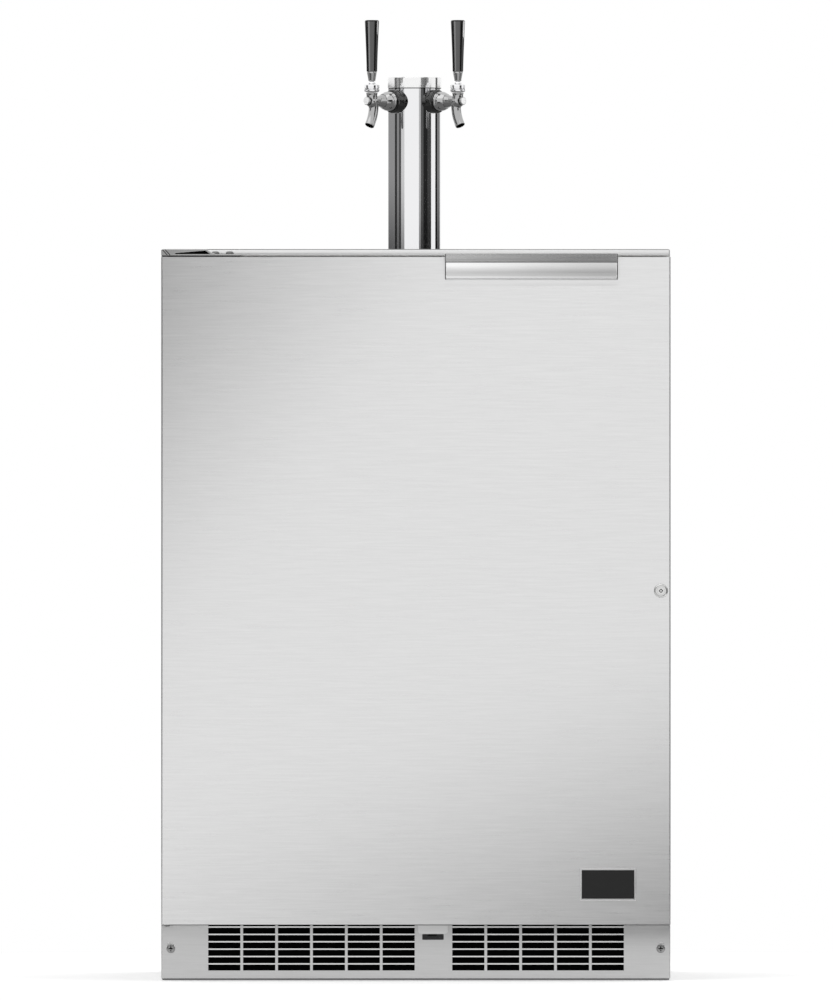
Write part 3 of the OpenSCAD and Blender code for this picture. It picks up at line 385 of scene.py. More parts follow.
def makeFinish(name, group, tone, gloss, metallic, contrast, spread, bump=0.0, stretch=even, shine=0.5):
    material = bpy.data.materials.new(name)
    material.use_nodes = True
    tree = material.node_tree
    mapping = newNode(tree, "Mapping", Vector=newNode(tree, "TexCoord").outputs["Object"], Scale=stretch)
    effect = newNode(tree, "Group")
    effect.node_tree = groups[group]
    colour = (tone, tone, tone, 1.0) if isinstance(tone, float) else (*tone, 1.0)
    for label, value in (("Vector", mapping.outputs[0]), ("Tone", colour), ("Contrast", contrast), ("Gloss", gloss),
                         ("Spread", spread)):
        feed(tree, effect.inputs[label], value)
    made = effect.outputs
    feeds = {"Base Color": made["Color"], "Roughness": made["Roughness"], "Metallic": metallic,
             "Specular IOR Level": shine}
    if bump:
        relief = newNode(tree, "Bump", Strength=bump, Distance=reliefDepth, Height=made["Height"])
        feeds["Normal"] = relief.outputs[0]
    for label, value in feeds.items():
        feed(tree, tree.nodes["Principled BSDF"].inputs[label], value)
    return material


# group, tone, gloss, metallic, contrast, spread, and where they are needed bump, stretch and shine

finishRows = {
    "doorSteel": ("brush", 0.74, 0.30, 1.0, 0.27, 0.2, 0.08, acrossFront),
    "wrapSteel": ("brush", 0.70, 0.32, 1.0, 0.27, 0.2, 0.08, alongDepth),
    # painted shade: the kick plate's steel is the door's brushed steel made darker, for the shade under the door's
    # overhang
    "kickSteelPaintedShade": ("brush", 0.56, 0.34, 1.0, 0.27, 0.2, 0.08, acrossFront),
    "handleSteel": ("brush", 0.84, 0.20, 1.0, 0.24, 0.12, 0.05, coarseFront),
    # painted shade: a dark copy of the handle's steel for the shaded underside of its lip
    "lipSteel": ("brush", 0.27, 0.26, 1.0, 0.8, 0.2, 0.08, coarseFront),
    # the raw cut edge, darker than the sheet: partly its own finish, partly painted shade
    "cutEdge": ("wipe", 0.46, 0.4, 1.0, 0.15, 0.1),
    # painted shade: a near-black steel for the dark outlines at the handle's ends
    "darkEdge": ("wipe", 0.15, 0.4, 1.0, 0.15, 0.1),
    "plateSteel": ("brush", 0.62, 0.36, 1.0, 0.2, 0.2, 0.06, acrossFront),
    "chrome": ("wipe", (0.86, 0.86, 0.87), 0.045, 1.0, 0.03, 0.03),
    "capChrome": ("wipe", 0.90, 0.09, 0.84, 0.04, 0.04),
    # painted shade: the next two are the polished chrome made darker, for the dark reflections on the faucets, nuts
    # and ferrules
    "castChrome": ("wipe", 0.44, 0.10, 1.0, 0.08, 0.06),
    "nutChrome": ("wipe", 0.50, 0.06, 1.0, 0.05, 0.04),
    # painted shade: the polished chrome made nearly black, for the dark reflections on the flanges and round the cap
    # boss
    "flangeChrome": ("wipe", 0.08, 0.08, 1.0, 0.05, 0.04),
    "capFace": ("wipe", 0.90, 0.3, 0.2, 0.03, 0.04),
    "lockNickel": ("wipe", (0.68, 0.68, 0.675), 0.24, 1.0, 0.06, 0.08),
    "zincSheet": ("spangle", (0.56, 0.57, 0.58), 0.42, 1.0, 0.28, 0.2),
    # dark steel for the dark steel parts, and as painted shade in the lock's key way
    "darkSteel": ("wipe", 0.16, 0.34, 1.0, 0.3, 0.2),
    "strapChrome": ("wipe", 0.62, 0.14, 1.0, 0.08, 0.06),
    "tabSteel": ("brush", 0.70, 0.3, 1.0, 0.16, 0.14, 0.05, acrossFront),
    "zincScrew": ("wipe", (0.60, 0.60, 0.58), 0.28, 1.0, 0.15, 0.15),
    "blackPaint": ("grain", 0.010, 0.55, 0.0, 0.3, 0.2, 0.08),
    "finAluminium": ("wipe", (0.74, 0.75, 0.76), 0.35, 1.0, 0.15, 0.1),
    "copper": ("wipe", (0.72, 0.42, 0.28), 0.3, 1.0, 0.25, 0.2),
    "linerPlastic": ("grain", (0.76, 0.76, 0.75), 0.36, 0.0, 0.05, 0.12, 0.05),
    "blackPlastic": ("grain", (0.028, 0.028, 0.03), 0.5, 0.0, 0.3, 0.15, 0.12),
    "displayDark": ("wipe", (0.014, 0.014, 0.015), 0.16, 0.0, 0.2, 0.08, 0.0, even, 0.3),
    "buttonBlack": ("grain", 0.004, 0.6, 0.0, 0.2, 0.1, 0.0, even, 0.1),
    "nylon": ("grain", (0.80, 0.79, 0.75), 0.45, 0.0, 0.06, 0.1, 0.05),
    "rubber": ("grain", (0.045, 0.045, 0.047), 0.62, 0.0, 0.3, 0.15, 0.15),
    "gasketGrey": ("grain", (0.16, 0.16, 0.165), 0.55, 0.0, 0.15, 0.12, 0.1),
    "gripBlack": ("wipe", 0.004, 0.07, 0.0, 0.3, 0.04, 0.0, even, 0.2),
    # near-black without gloss: the filter mat, and painted shade in recesses, gaps and the spout's mouth
    "filterBlack": ("cell", 0.0015, 0.9, 0.0, 0.5, 0.1, 0.2, even, 0.0),
    "grilleBar": ("brush", 0.74, 0.25, 1.0, 0.12, 0.1, 0.04, acrossFront),
    "screwSteel": ("wipe", 0.30, 0.28, 1.0, 0.2, 0.1),
    "badgeDark": ("grain", 0.010, 0.5, 0.0, 0.2, 0.12, 0.05, even, 0.3),
    "badgeRim": ("wipe", 0.72, 0.25, 1.0, 0.08, 0.08),
    "foam": ("cell", (0.78, 0.70, 0.46), 0.85, 0.0, 0.25, 0.1, 0.3),
}
finish = {name: makeFinish(name, *row) for name, row in finishRows.items()}
print("finishes:", len(finish))


# Cabinet shell: folded side and top sheet, pressed back, steel front frame

shell = {"half": 303.0, "front": -239.0, "rear": 315.0, "base": 2.0, "top": 871.0, "sheet": 1.2, "fold": 2.2,
         "portR": 20.1, "towerY": 38.0, "over": 5.0}


def topFolds(low, out):
    return lambda mid, e: mid.z > low and abs(mid.x) > out


def buildShell():
    s = sized(shell)
    inner = s.half - s.sheet
    bm = box((-s.half, s.front, s.base), (s.half, s.rear - s.sheet, s.top), s.fold, 5,
             topFolds(s.top - 1, s.half - 1))
    hollow = box((-inner, s.front - s.over, s.base - s.over), (inner, s.rear + s.over, s.top - s.sheet),
                 s.fold - s.sheet, 3, topFolds(s.top - 3, inner - 1))
    bm = cutAway(bm, hollow)
    bm = cutAway(bm, rod(s.portR, 0, 12, (0, s.towerY, s.top - 6)))
    # the raw front edge of the sheet, made darker than the sheet: partly its cut-edge finish, partly painted shade for
    # the dark line along the top
    paint(bm, 1, lambda face, at: at.y < s.front + 0.1)
    finishPiece(bm, "sideAndTopSheet", "wrapSteel cutEdge", "cabinet", "brushed_steel", "cabinet_wrap")


buildShell()

frontRoll = {"x0": -301.6, "x1": 301.6, "z0": 861.4, "z1": 869.8, "y": -239.0, "out": 1.1, "steps": 12}


def buildFrontRoll():
    # the top sheet is rolled down over the steel front frame
    r = sized(frontRoll)
    half, mid = (r.z1 - r.z0) / 2, (r.z1 + r.z0) / 2
    radius = (half * half + r.out ** 2) / (2 * r.out)
    swing = math.degrees(math.asin(half / radius))
    edge = arc((r.y - r.out + radius, mid), radius, 180 - swing, 180 + swing, r.steps)
    bm = prism([(r.x0, y, z) for y, z in edge], (r.x1 - r.x0, 0, 0))
    finishPiece(bm, "topFrontRoll", "doorSteel", "cabinet", "brushed_steel")


buildFrontRoll()

backSheet = {"rear": 315.0, "sheet": 1.2, "strip": 150.0, "border": 26.0, "slope": 3.2, "press": 0.9, "soft": 1.0,
             "screwR": 4.0, "screwT": 0.8, "glandX": -203.0, "glandZ": 60.0, "glandR": 10.1, "flat": 11.5,
             "screws": (((-291, -146, 0, 146, 291), (14, 138, 860)), ((-291, 291), (270, 390, 510, 630, 750)))}


def buildBack():
    s, b = sized(shell), sized(backSheet)
    bm = bmesh.new()
    # pressed fields over the insulated part
    bmesh.ops.create_grid(bm, x_segments=2, y_segments=3, size=0.5)
    tall = s.top - b.strip
    bmesh.ops.scale(bm, vec=(2 * s.half, tall, 1), verts=bm.verts)
    bmesh.ops.rotate(bm, matrix=faceFront.to_3x3(), verts=bm.verts)
    bmesh.ops.translate(bm, vec=(0, b.rear, b.strip + tall / 2), verts=bm.verts)
    bmesh.ops.recalc_face_normals(bm, faces=bm.faces)
    for face in bm.faces:
        if face.normal.y < 0:
            face.normal_flip()
    fields = list(bm.faces)
    for width, depth in ((b.border, 0), (b.slope, -b.press)):
        bmesh.ops.inset_individual(bm, faces=fields, thickness=width, depth=depth, use_even_offset=True)
    roundEdges(bm, sharpEdges(bm, b.flat), b.soft)
    # flat strip behind the machine compartment, with the mains inlet
    strip = box((-s.half, b.rear - b.sheet, s.base), (s.half, b.rear, b.strip))
    addInto(bm, cutAway(strip, rod(b.glandR, 0, 10, (b.glandX, b.rear - 5, b.glandZ), outY)))
    finishPiece(bm, "backSheet", "zincSheet", "cabinet", "galvanised_steel", "back_panel", recalc=False)
    screws = bmesh.new()
    for across, heights in b.screws:
        for x in across:
            for z in heights:
                addInto(screws, panScrew(b.screwR, b.screwT), onBack(x, b.rear, z))
    finishPiece(screws, "backScrews", "zincScrew filterBlack", "cabinet", "zinc_screws")


buildBack()
print("cabinet shell done")


# Keg space: liner with soft corners, breaker ring, keg plate, port grommet

keg = {"x": 257.0, "back": 265.0, "floor": 190.0, "top": 815.0, "wall": 2.0, "soft": 16.0, "breakY": -231.0,
       "openX": 269.0, "openFloor": 178.0, "openTop": 827.0, "ledges": (330.0, 480.0, 630.0), "ledge": 5.0,
       "ledgeY": (-190, 205), "ledgeHalf": 6, "ledgeSoft": 2.4, "plateCorner": 20.0, "plateEdge": 0.4,
       "grommet": ((18, 813), (26, 813), (26, 815), (20, 815), (20, 871), (18, 871), (18, 813))}


def kegCutter():
    k = sized(keg)
    return box((-k.x, shell["front"] - 60, k.floor), (k.x, k.back, k.top), k.soft, 6)


def buildKegSpace():
    k, s = sized(keg), sized(shell)
    outer = k.x + k.wall
    bm = box((-outer, k.breakY, k.floor - k.wall), (outer, k.back + k.wall, k.top + k.wall))
    bm = cutAway(bm, kegCutter())
    bm = cutAway(bm, rod(s.portR, 0, 40, (0, s.towerY, k.top - 15)))
    y0, y1 = k.ledgeY
    for z in k.ledges:
        for side in (-1, 1):
            x0, x1 = sorted((side * (k.x + 1), side * (k.x - k.ledge)))
            addInto(bm, box((x0, y0, z - k.ledgeHalf), (x1, y1, z + k.ledgeHalf), k.ledgeSoft, 3,
                            lambda mid, e: abs(mid.x) < k.x))
    finishPiece(bm, "kegLiner", "linerPlastic", "cabinet", "liner_plastic", "liner")
    ring = box((-k.openX, s.front, k.openFloor), (k.openX, k.breakY, k.openTop), 1.0, 2, below(yAxis, s.front + 1))
    ring = cutAway(ring, kegCutter())
    finishPiece(ring, "breakerRing", "linerPlastic", "cabinet", "liner_plastic", "breaker_frame")
    lo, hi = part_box("keg_plate")
    plate = box(lo * 1000, hi * 1000, k.plateCorner, 6, along(zAxis))
    roundEdges(plate, sharpEdges(plate, 60), k.plateEdge, 2)
    finishPiece(plate, "kegPlate", "plateSteel", "cabinet", "brushed_steel", "keg_plate")
    grommet = turned(k.grommet, (0, s.towerY, 0), edge=0.5)
    finishPiece(grommet, "portGrommet", "blackPlastic", "cabinet", "black_plastic", "line_grommet")


buildKegSpace()

wheel = {"root": 1.5, "span": 34, "flare": 8, "steep": 0.86, "ease": 0.2, "camber": 0.8, "sheet": 1.3, "depth": 9.0,
         "lean": 14, "boss": 10, "chamfer": (0.8, 2.2), "shaftR": 2.5, "shaft": 11, "blades": 5}


def fanWheel(hub, tip):
    w = sized(wheel)
    share, rise = w.chamfer
    end = w.boss + w.shaft
    bm = turned([(0, 0), (hub * share, 0), (hub, rise), (hub, w.boss), (w.shaftR, w.boss), (w.shaftR, end),
                 (0, end)], steps=48)
    # swept blades, wide and flat at the tip and steeper at the hub
    for i in range(w.blades):
        blade = bmesh.new()
        bmesh.ops.create_grid(blade, x_segments=6, y_segments=4, size=0.5)
        for v in blade.verts:
            out, across = v.co.x + 0.5, v.co.y
            radius = hub - w.root + (tip - hub + w.root) * out
            angle = across * math.radians(w.span + w.flare * out) + math.radians(w.lean) * out * out
            rise = -across * w.depth * (w.steep - w.ease * out) + w.camber * math.cos(across * math.pi)
            v.co = Vector((radius * math.cos(angle), radius * math.sin(angle), w.depth / 2 + rise))
        bmesh.ops.solidify(blade, geom=blade.faces[:], thickness=w.sheet)
        addInto(bm, blade, Matrix.Rotation(2 * math.pi * i / w.blades, 4, "Z"))
    return bm


cooler = {"x": 150.0, "y0": 220.0, "y1": 265.0, "z0": 555.0, "z1": 755.0, "wall": 2.0, "soft": 9.0,
          "fanZ": 693.0, "fanHole": 49.0, "hub": 14.0, "tip": 46.0, "fanY": 224.0,
          "vents": 3, "ventPitch": 36, "ventHalf": 13,
          "slots": (578, 590, 602, 614, 626), "slotX": 120, "slotHalf": 2.2,
          "guard": (12, 22, 32, 42), "guardY": 2.4, "bearingY": 23, "arms": (30, 150, 270),
          "machineHub": 14, "machineTip": 44, "machineAt": (-138, -175, 72)}


def buildCooler():
    c = sized(cooler)
    w, x = c.wall, c.x - c.wall
    bm = box((-c.x, c.y0, c.z0), (c.x, c.y1 + 1, c.z1), c.soft, 5, below(yAxis, c.y1))
    bm = cutAway(bm, box((-x, c.y0 + w, c.z0 + w), (x, c.y1 + 5, c.z1 - w), c.soft - w, 4, below(yAxis, c.y1)))
    cuts = rod(c.fanHole, 0, 14, (0, c.y0 - 6, c.fanZ), outY)
    for i in range(-c.vents, c.vents + 1):
        at = i * c.ventPitch
        addBox(cuts, (at - c.ventHalf, c.y0 + 8, c.z0 - 4), (at + c.ventHalf, c.y1 - 8, c.z0 + 6))
    for z in c.slots:
        addBox(cuts, (-c.slotX, c.y0 - 4, z - c.slotHalf), (c.slotX, c.y0 + 4, z + c.slotHalf), 2.0, 3, along(yAxis))
    bm = cutAway(bm, cuts)
    # round guard over the fan, held by three bars
    place = onFront(0, c.y0 + c.guardY, c.fanZ)
    for radius in c.guard:
        addInto(bm, tube(radius - 1, radius + 1, 0, 2.2, edge=0.4), place)
    for turn in c.arms:
        addInto(bm, box((11, -1.2, 0.2), (c.fanHole + 1, 1.2, 2.0)), place @ spun(turn))
    # three arms behind the wheel carry its bearing
    bearing = tube(2.6, 16, 0, 5, steps=48, edge=0.5)
    for turn in c.arms:
        addInto(bearing, box((14, -4, 0), (60, 4, 5), 0.6, 2), spun(turn))
    addInto(bm, bearing, onFront(0, c.y0 + c.bearingY, c.fanZ))
    finishPiece(bm, "coolerCover", "linerPlastic", "cabinet", "liner_plastic", "evaporator_cover")
    fan = moved(fanWheel(c.hub, c.tip), onBack(0, c.fanY, c.fanZ))
    finishPiece(fan, "coolerFan", "blackPlastic", "evaporator_fan", "black_plastic", "evaporator_fan")
    fan = moved(fanWheel(c.machineHub, c.machineTip), onBack(*c.machineAt))
    finishPiece(fan, "machineFan", "blackPlastic", "condenser_fan", "black_plastic", "condenser_fan")


buildCooler()
print("keg space done")


# Vented base: kick plate with slots, its screws, the control window

kick = {"half": 303.0, "face": -269.0, "back": -239.0, "base": 2.0, "top": 65.8, "sheet": 1.2, "corner": 1.4,
        "slotW": 38.3, "slotH": 7.0, "pitchX": 41.5, "pitchZ": 8.78, "firstZ": 11.9, "rows": 7,
        "groups": ((-247.1, 6), (43.4, 5)), "through": 5, "filter": 3.2, "filterT": 0.8,
        "screwX": 291.6, "screwZ": 37.8, "screwR": 5.1, "screwT": 2.4,
        "shank": ((0, -12), (1.6, -12), (2.0, -10.5), (2.0, 0.2), (0, 0.2)), "rimUp": 3.0,
        "rim": ((3.4, -0.2), (4.9, -0.2), (4.9, 0.2), (4.5, 0.55), (4.0, 0.5), (3.6, 0.1), (3.4, -0.2)),
        "barOut": 0.35, "barIn": 0.6, "barGap": 0.02, "thin": 0.3, "seal": (0.6, 3.4, 0.9, 0.8),
        "window": (7.7, 33.2, 48.4, 55.2)}


def slotPlaces(rows):
    # the lower left corner of each slot
    k = sized(kick)
    return [(x + i * k.pitchX, k.firstZ + j * k.pitchZ)
            for x, columns in k.groups for i in range(columns) for j in range(rows)]


def buildKick():
    k = sized(kick)
    inner = k.half - k.sheet
    bm = box((-k.half, k.face, k.base), (k.half, k.back, k.top), k.corner, 4,
             lambda mid, e: (mid.y < k.face + 1 and mid.z < k.top - 1)
             or (abs(mid.x) > k.half - 1 and mid.z < k.base + 1))
    bm = cutAway(bm, box((-inner, k.face + k.sheet, -10), (inner, k.back + 10, k.top + 10)))
    cuts = bmesh.new()
    front, behind = k.face - k.through, k.face + k.through
    for x, z in slotPlaces(k.rows):
        addBox(cuts, (x, front, z), (x + k.slotW, behind, z + k.slotH))
    x0, x1, z0, z1 = k.window
    addBox(cuts, (x0, front, z0), (x1, behind, z1), 0.8, 3, along(yAxis))
    finishPiece(cutAway(bm, cuts), "kickPlate", "kickSteelPaintedShade", "cabinet", "brushed_steel", "kick_plate")
    screws, trim = bmesh.new(), bmesh.new()
    for x in (-k.screwX, k.screwX):
        place = onFront(x, k.face, k.screwZ)
        addInto(screws, panScrew(k.screwR, k.screwT), place)
        addInto(screws, turned(k.shank, steps=24), place)
        # pressed keyhole rim that shows above the screw
        addInto(trim, turned(k.rim, steps=48), onFront(x, k.face, k.screwZ + k.rimUp))
    finishPiece(screws, "kickScrews", "screwSteel filterBlack", "cabinet", "dark_steel", "kick_screws")
    # bright bars between the slots, and the seal under the sheet
    gap = k.pitchZ - k.slotH
    for x, z in slotPlaces(k.rows - 1):
        low = z + k.slotH
        addBox(trim, (x, k.face - k.barOut, low + k.barGap), (x + k.slotW, k.face + k.barIn, low + gap - k.barGap),
               k.thin, 2, below(yAxis, k.face))
    finishPiece(trim, "grilleBars", "grilleBar", "cabinet", "brushed_steel")
    y0, y1, z0, lap = k.seal
    seal = box((-inner, k.face + y0, z0), (inner, k.face + y1, k.base + lap), k.thin, 2)
    finishPiece(seal, "floorSeal", "rubber", "cabinet", "rubber")
    # black dust filter behind each group of slots, near-black without gloss as painted shade, so the slots read as the
    # dark inside of the base
    screen = bmesh.new()
    y0 = k.face + k.filter
    for x, columns in k.groups:
        addBox(screen, (x - 2, y0, k.firstZ - 3), (x + columns * k.pitchX, y0 + k.filterT, k.top + 0.6))
    finishPiece(screen, "dustFilterPaintedShade", "filterBlack", "cabinet", "black_plastic")


buildKick()

control = {"tab": (2.75, 38.15, 55.8, 65.8), "tabT": 0.8, "tabCorner": 3.0, "tabEdge": 0.25, "face": -269.0,
           "lens": (7.8, 33.1, 48.5, 55.1), "lensY": (0.4, 1.2), "button": (14.2, 24.7, 53.0, 54.9),
           "buttonY": (-0.6, 5.2), "buttonEdge": 0.45, "clear": 0.2, "through": 4}


def buildControl():
    c = sized(control)
    x0, x1, z0, z1 = c.tab
    r = c.tabCorner
    low = arc((x0 + r, z0 + r), r, 180, 270, 6) + arc((x1 - r, z0 + r), r, 270, 360, 6)
    outline = [(x, c.face, z) for x, z in low + [(x1, z1), (x0, z1)]]
    tab = prism(outline, (0, -c.tabT, 0), c.tabEdge, 2, 60)
    finishPiece(tab, "controlTab", "tabSteel", "cabinet", "brushed_steel", "control_tab")
    x0, x1, z0, z1 = c.lens
    y0, y1 = c.lensY
    lens = box((x0, c.face + y0, z0), (x1, c.face + y1, z1), 0.6, 3, along(yAxis, 0.1))
    bx0, bx1, bz0, bz1 = c.button
    notch = box((bx0 - c.clear, c.face - c.through, bz0 - c.clear),
                (bx1 + c.clear, c.face + c.through, z1 + c.through))
    finishPiece(cutAway(lens, notch), "controlLens", "displayDark", "cabinet", "display_dark", "display_lens")
    y0, y1 = c.buttonY
    button = box((bx0, c.face + y0, bz0), (bx1, c.face + y1, bz1), c.buttonEdge)
    finishPiece(button, "powerButton", "buttonBlack", "button", "black_plastic", "power_button")


buildControl()
print("vented base done")


# Door: brushed skin, inner panel, gasket, handle, badge plate, lock

door = {"half": 303.0, "face": -295.0, "back": -245.0, "base": 67.0, "top": 861.0, "edge": 2.0, "crisp": 0.4,
        "liner": 2.0, "linerIn": 0.4, "plugX": 243.0, "plugLow": 204.0, "plugHigh": 801.0, "plugY": -231.0,
        "plugSoft": 7.0, "plugField": ((34, 0), (5, -1.7)), "fieldSoft": 1.2, "hinge": (-296.2, -279.0),
        "bushR": 5.05, "bushes": ((846.9, 870), (60, 85.1)), "notch": (-289.7, -288.3, 71.5),
        "lock": (291.5, 464.0), "barrelR": 6.6, "barrelLen": 70}


def doorCuts(withBushes):
    d = sized(door)
    nx, ny, nz = d.notch
    lockX, lockZ = d.lock
    holes = [box((-d.half - 3, ny, d.base - 3), (nx, d.back + 40, nz)),
             rod(d.barrelR, 0, d.barrelLen, (lockX, d.face - 5, lockZ), outY, 40)]
    if withBushes:
        holes += [rod(d.bushR, 0, z1 - z0, (*d.hinge, z0), steps=40) for z0, z1 in d.bushes]
    return holes


def buildDoor():
    d = sized(door)
    inside, lip = d.back - d.liner, d.linerIn
    bm = box((-d.half, d.face, d.base), (d.half, inside, d.top), d.edge, 5,
             lambda mid, e: mid.y < d.face + 1 and abs(mid.x) > 1)
    level = [e for e in sharpEdges(bm, 60) if max(v.co.y for v in e.verts) < d.face + 0.01]
    roundEdges(bm, level, d.crisp, 2)
    for hole in doorCuts(True):
        bm = cutAway(bm, hole)
    finishPiece(bm, "doorSkin", "doorSteel", "door", "brushed_steel", "door_skin")
    panel = box((-d.half + lip, inside, d.base + lip), (d.half - lip, d.back, d.top - lip), 0.8, 2,
                above(yAxis, d.back - 1))
    for hole in doorCuts(False):
        panel = cutAway(panel, hole)
    plug = box((-d.plugX, d.back - 1, d.plugLow), (d.plugX, d.plugY, d.plugHigh), d.plugSoft, 5,
               above(yAxis, d.back))
    middle = [f for f in plug.faces if f.normal.y > 0.99]
    for width, depth in d.plugField:
        inset(plug, middle, width, depth)
    roundEdges(plug, [e for f in middle for e in f.edges], d.fieldSoft)
    addInto(panel, plug)
    finishPiece(panel, "doorInnerPanel", "linerPlastic", "door", "liner_plastic", "door_liner")


buildDoor()

gasket = {"outer": (285.0, 162.0, 843.0), "inner": 269.0, "y0": -245.0, "y1": -239.0, "soft": 1.8,
          "groove": (4.6, 1.2, 1.0)}


def buildGasket():
    g = sized(gasket)
    x, low, high = g.outer
    bm = bmesh.new()
    face = bm.faces.new([bm.verts.new((px, g.y1, pz)) for px, pz in ((-x, low), (-x, high), (x, high), (x, low))])
    face.normal_update()
    inset(bm, [face], x - g.inner, edge=True)
    bmesh.ops.delete(bm, geom=[face], context="FACES")
    # a shallow groove round the sealing face, over the magnet
    ring = bm.faces[:]
    border, slope, sink = g.groove
    for width in (border, slope):
        inset(bm, ring, width, edge=True)
    bmesh.ops.translate(bm, vec=(0, -sink, 0), verts=list({v for f in ring for v in f.verts}))
    made = bmesh.ops.extrude_edge_only(bm, edges=rimEdges(bm))["geom"]
    bmesh.ops.translate(bm, vec=(0, g.y0 - g.y1, 0), verts=newVerts(made))
    bmesh.ops.bridge_loops(bm, edges=rimEdges(bm))
    bmesh.ops.recalc_face_normals(bm, faces=bm.faces)
    lip = [e for e in sharpEdges(bm, 68) if min(v.co.y for v in e.verts) > g.y1 - 0.1]
    roundEdges(bm, lip, g.soft, 4)
    finishPiece(bm, "doorGasket", "gasketGrey", "door", "rubber", "door_gasket")


buildGasket()

handle = {"x0": 34.55, "x1": 240.25, "face": -295.0, "z0": 833.5, "centre": (-4.58, 14.27), "belly": 14.99,
          "crease": (9.0, 20.6), "tip": (20.0, 31.7), "lipBack": ((15.79, 31.7), (0.0, 20.0)), "edge": 0.5,
          "ends": ((0.0, 0.085), (0.5, 0.03), (1.2, 0.006), (2.0, 0.0)), "dark": 1.2, "steps": 22}


def buildHandle():
    h = sized(handle)
    cx, cz = h.centre
    start = math.degrees(math.atan2(-cz, -cx))
    end = math.degrees(math.atan2(h.crease[1] - cz, h.crease[0] - cx))
    section = arc(h.centre, h.belly, start, end, h.steps) + [h.tip, *h.lipBack]
    bm = prism([(h.x0, h.face - out, h.z0 + z) for out, z in section], (h.x1 - h.x0, 0, 0))
    bmesh.ops.recalc_face_normals(bm, faces=bm.faces)
    # painted shade: the underside of the lip gets a much darker, coarser steel, for the shade and dark reflection
    # under the lip
    paint(bm, 1, lambda face, at: face.normal.z < -0.6 and at.z > h.z0 + h.crease[1])
    roundEdges(bm, [e for e in sharpEdges(bm, 40) if e.verts[0].co.x != e.verts[1].co.x], h.edge)
    # narrow rounded ends, painted dark below so that they show as dark lines (painted shade)
    middle = h.z0 + h.tip[1] / 2
    ends = [(x, draw) for back, draw in h.ends for x in (h.x0 + back, h.x1 - back)]
    for x, draw in ends:
        bmesh.ops.bisect_plane(bm, geom=bm.verts[:] + bm.edges[:] + bm.faces[:], dist=0.001,
                               plane_co=(x, 0, 0), plane_no=outX)
    for x, draw in ends:
        for v in bm.verts:
            if abs(v.co.x - x) < 0.01:
                v.co.y += (h.face - v.co.y) * draw
                v.co.z += (middle - v.co.z) * draw
    bm.normal_update()
    # painted shade: the faces at both ends get a near-black steel for the dark outlines there
    paint(bm, 2, lambda face, at: abs(face.normal.x) < 0.95 and min(abs(at.x - h.x0), abs(at.x - h.x1)) < h.dark)
    finishPiece(bm, "pullHandle", "handleSteel lipSteel darkEdge", "door", "brushed_steel", "pull_handle", sharp=30)


buildHandle()

badge = {"x0": 195.0, "x1": 262.0, "z0": 95.5, "z1": 134.0, "face": -295.0, "t": 1.6, "soft": 0.7, "rim": 2.2,
         "slope": 0.3, "sink": 0.8}


def buildBadge():
    b = sized(badge)
    bm = box((b.x0, b.face - b.t, b.z0), (b.x1, b.face, b.z1), b.soft, 3, below(yAxis, b.face - 1))
    front = [f for f in bm.faces if f.normal.y < -0.99]
    inset(bm, front, b.rim - b.soft)
    inset(bm, front, b.slope, -b.sink)
    for f in front:
        f.material_index = 1
    finishPiece(bm, "badgePlate", "badgeRim badgeDark", "door", "badge_dark", "badge_plate", sharp=32)


buildBadge()

lock = {"at": (291.5, 464.0), "face": -295.0, "ringR": 8.3, "proud": 3.0, "boreR": 4.65, "barrelR": 6.5, "deep": -50,
        "round": ((0, 0), (0, 1.0), (-0.3, 1.7), (-1.0, 2.4)), "crown": ((-2.2, -0.1), (-2.7, 0)), "plugR": 4.6,
        "key": 2.0, "sink": 1.2, "taper": 0.5, "shaftR": 2.4, "shaft": (-58.2, -49.9),
        "cam": ((-2.5, -2.0, -61.2), (2.5, 14, -58.2))}


def buildLock():
    k = sized(lock)
    x, z = k.at
    place = onFront(x, k.face, z)
    bore = near(k.boreR, k.proud, (0.07, 0), (0, -0.08)) + [(k.boreR, k.deep)]
    ring = turned([(k.boreR, k.deep), (k.barrelR, k.deep), (k.barrelR, 0), *near(k.ringR, 0, *k.round),
                   *near(k.ringR, k.proud, *k.crown), *bore])
    finishPiece(moved(ring, place), "lockRing", "lockNickel", "door", "polished_steel", "lock_barrel", sharp=40)
    plug = turned([(0, k.deep), (k.plugR, k.deep), *near(k.plugR, k.proud, (0, -0.12), (-0.12, 0)), (0, k.proud)],
                  steps=48)
    # a square key way, narrower at its floor
    way = box((-k.key, -k.key, k.proud - k.sink), (k.key, k.key, k.proud + 0.1))
    for v in way.verts:
        if v.co.z < k.proud:
            v.co.xy *= k.taper
    plug = cutAway(plug, moved(way, spun(45)))
    # painted shade: the key way's walls get the dark steel, so that the recess shows dark
    paint(plug, 1, lambda face, at: at.xy.length < k.key and 0 < at.z < k.proud - 0.1 and abs(face.normal.z) < 0.9)
    addInto(plug, rod(k.shaftR, *k.shaft, steps=24))
    addInto(plug, box(*k.cam, 0.7, 2))
    plug = moved(plug, place)
    finishPiece(plug, "lockPlug", "lockNickel darkSteel", "lock", "polished_steel", "lock_plug", sharp=40)


buildLock()
print("door done")


# Hinges

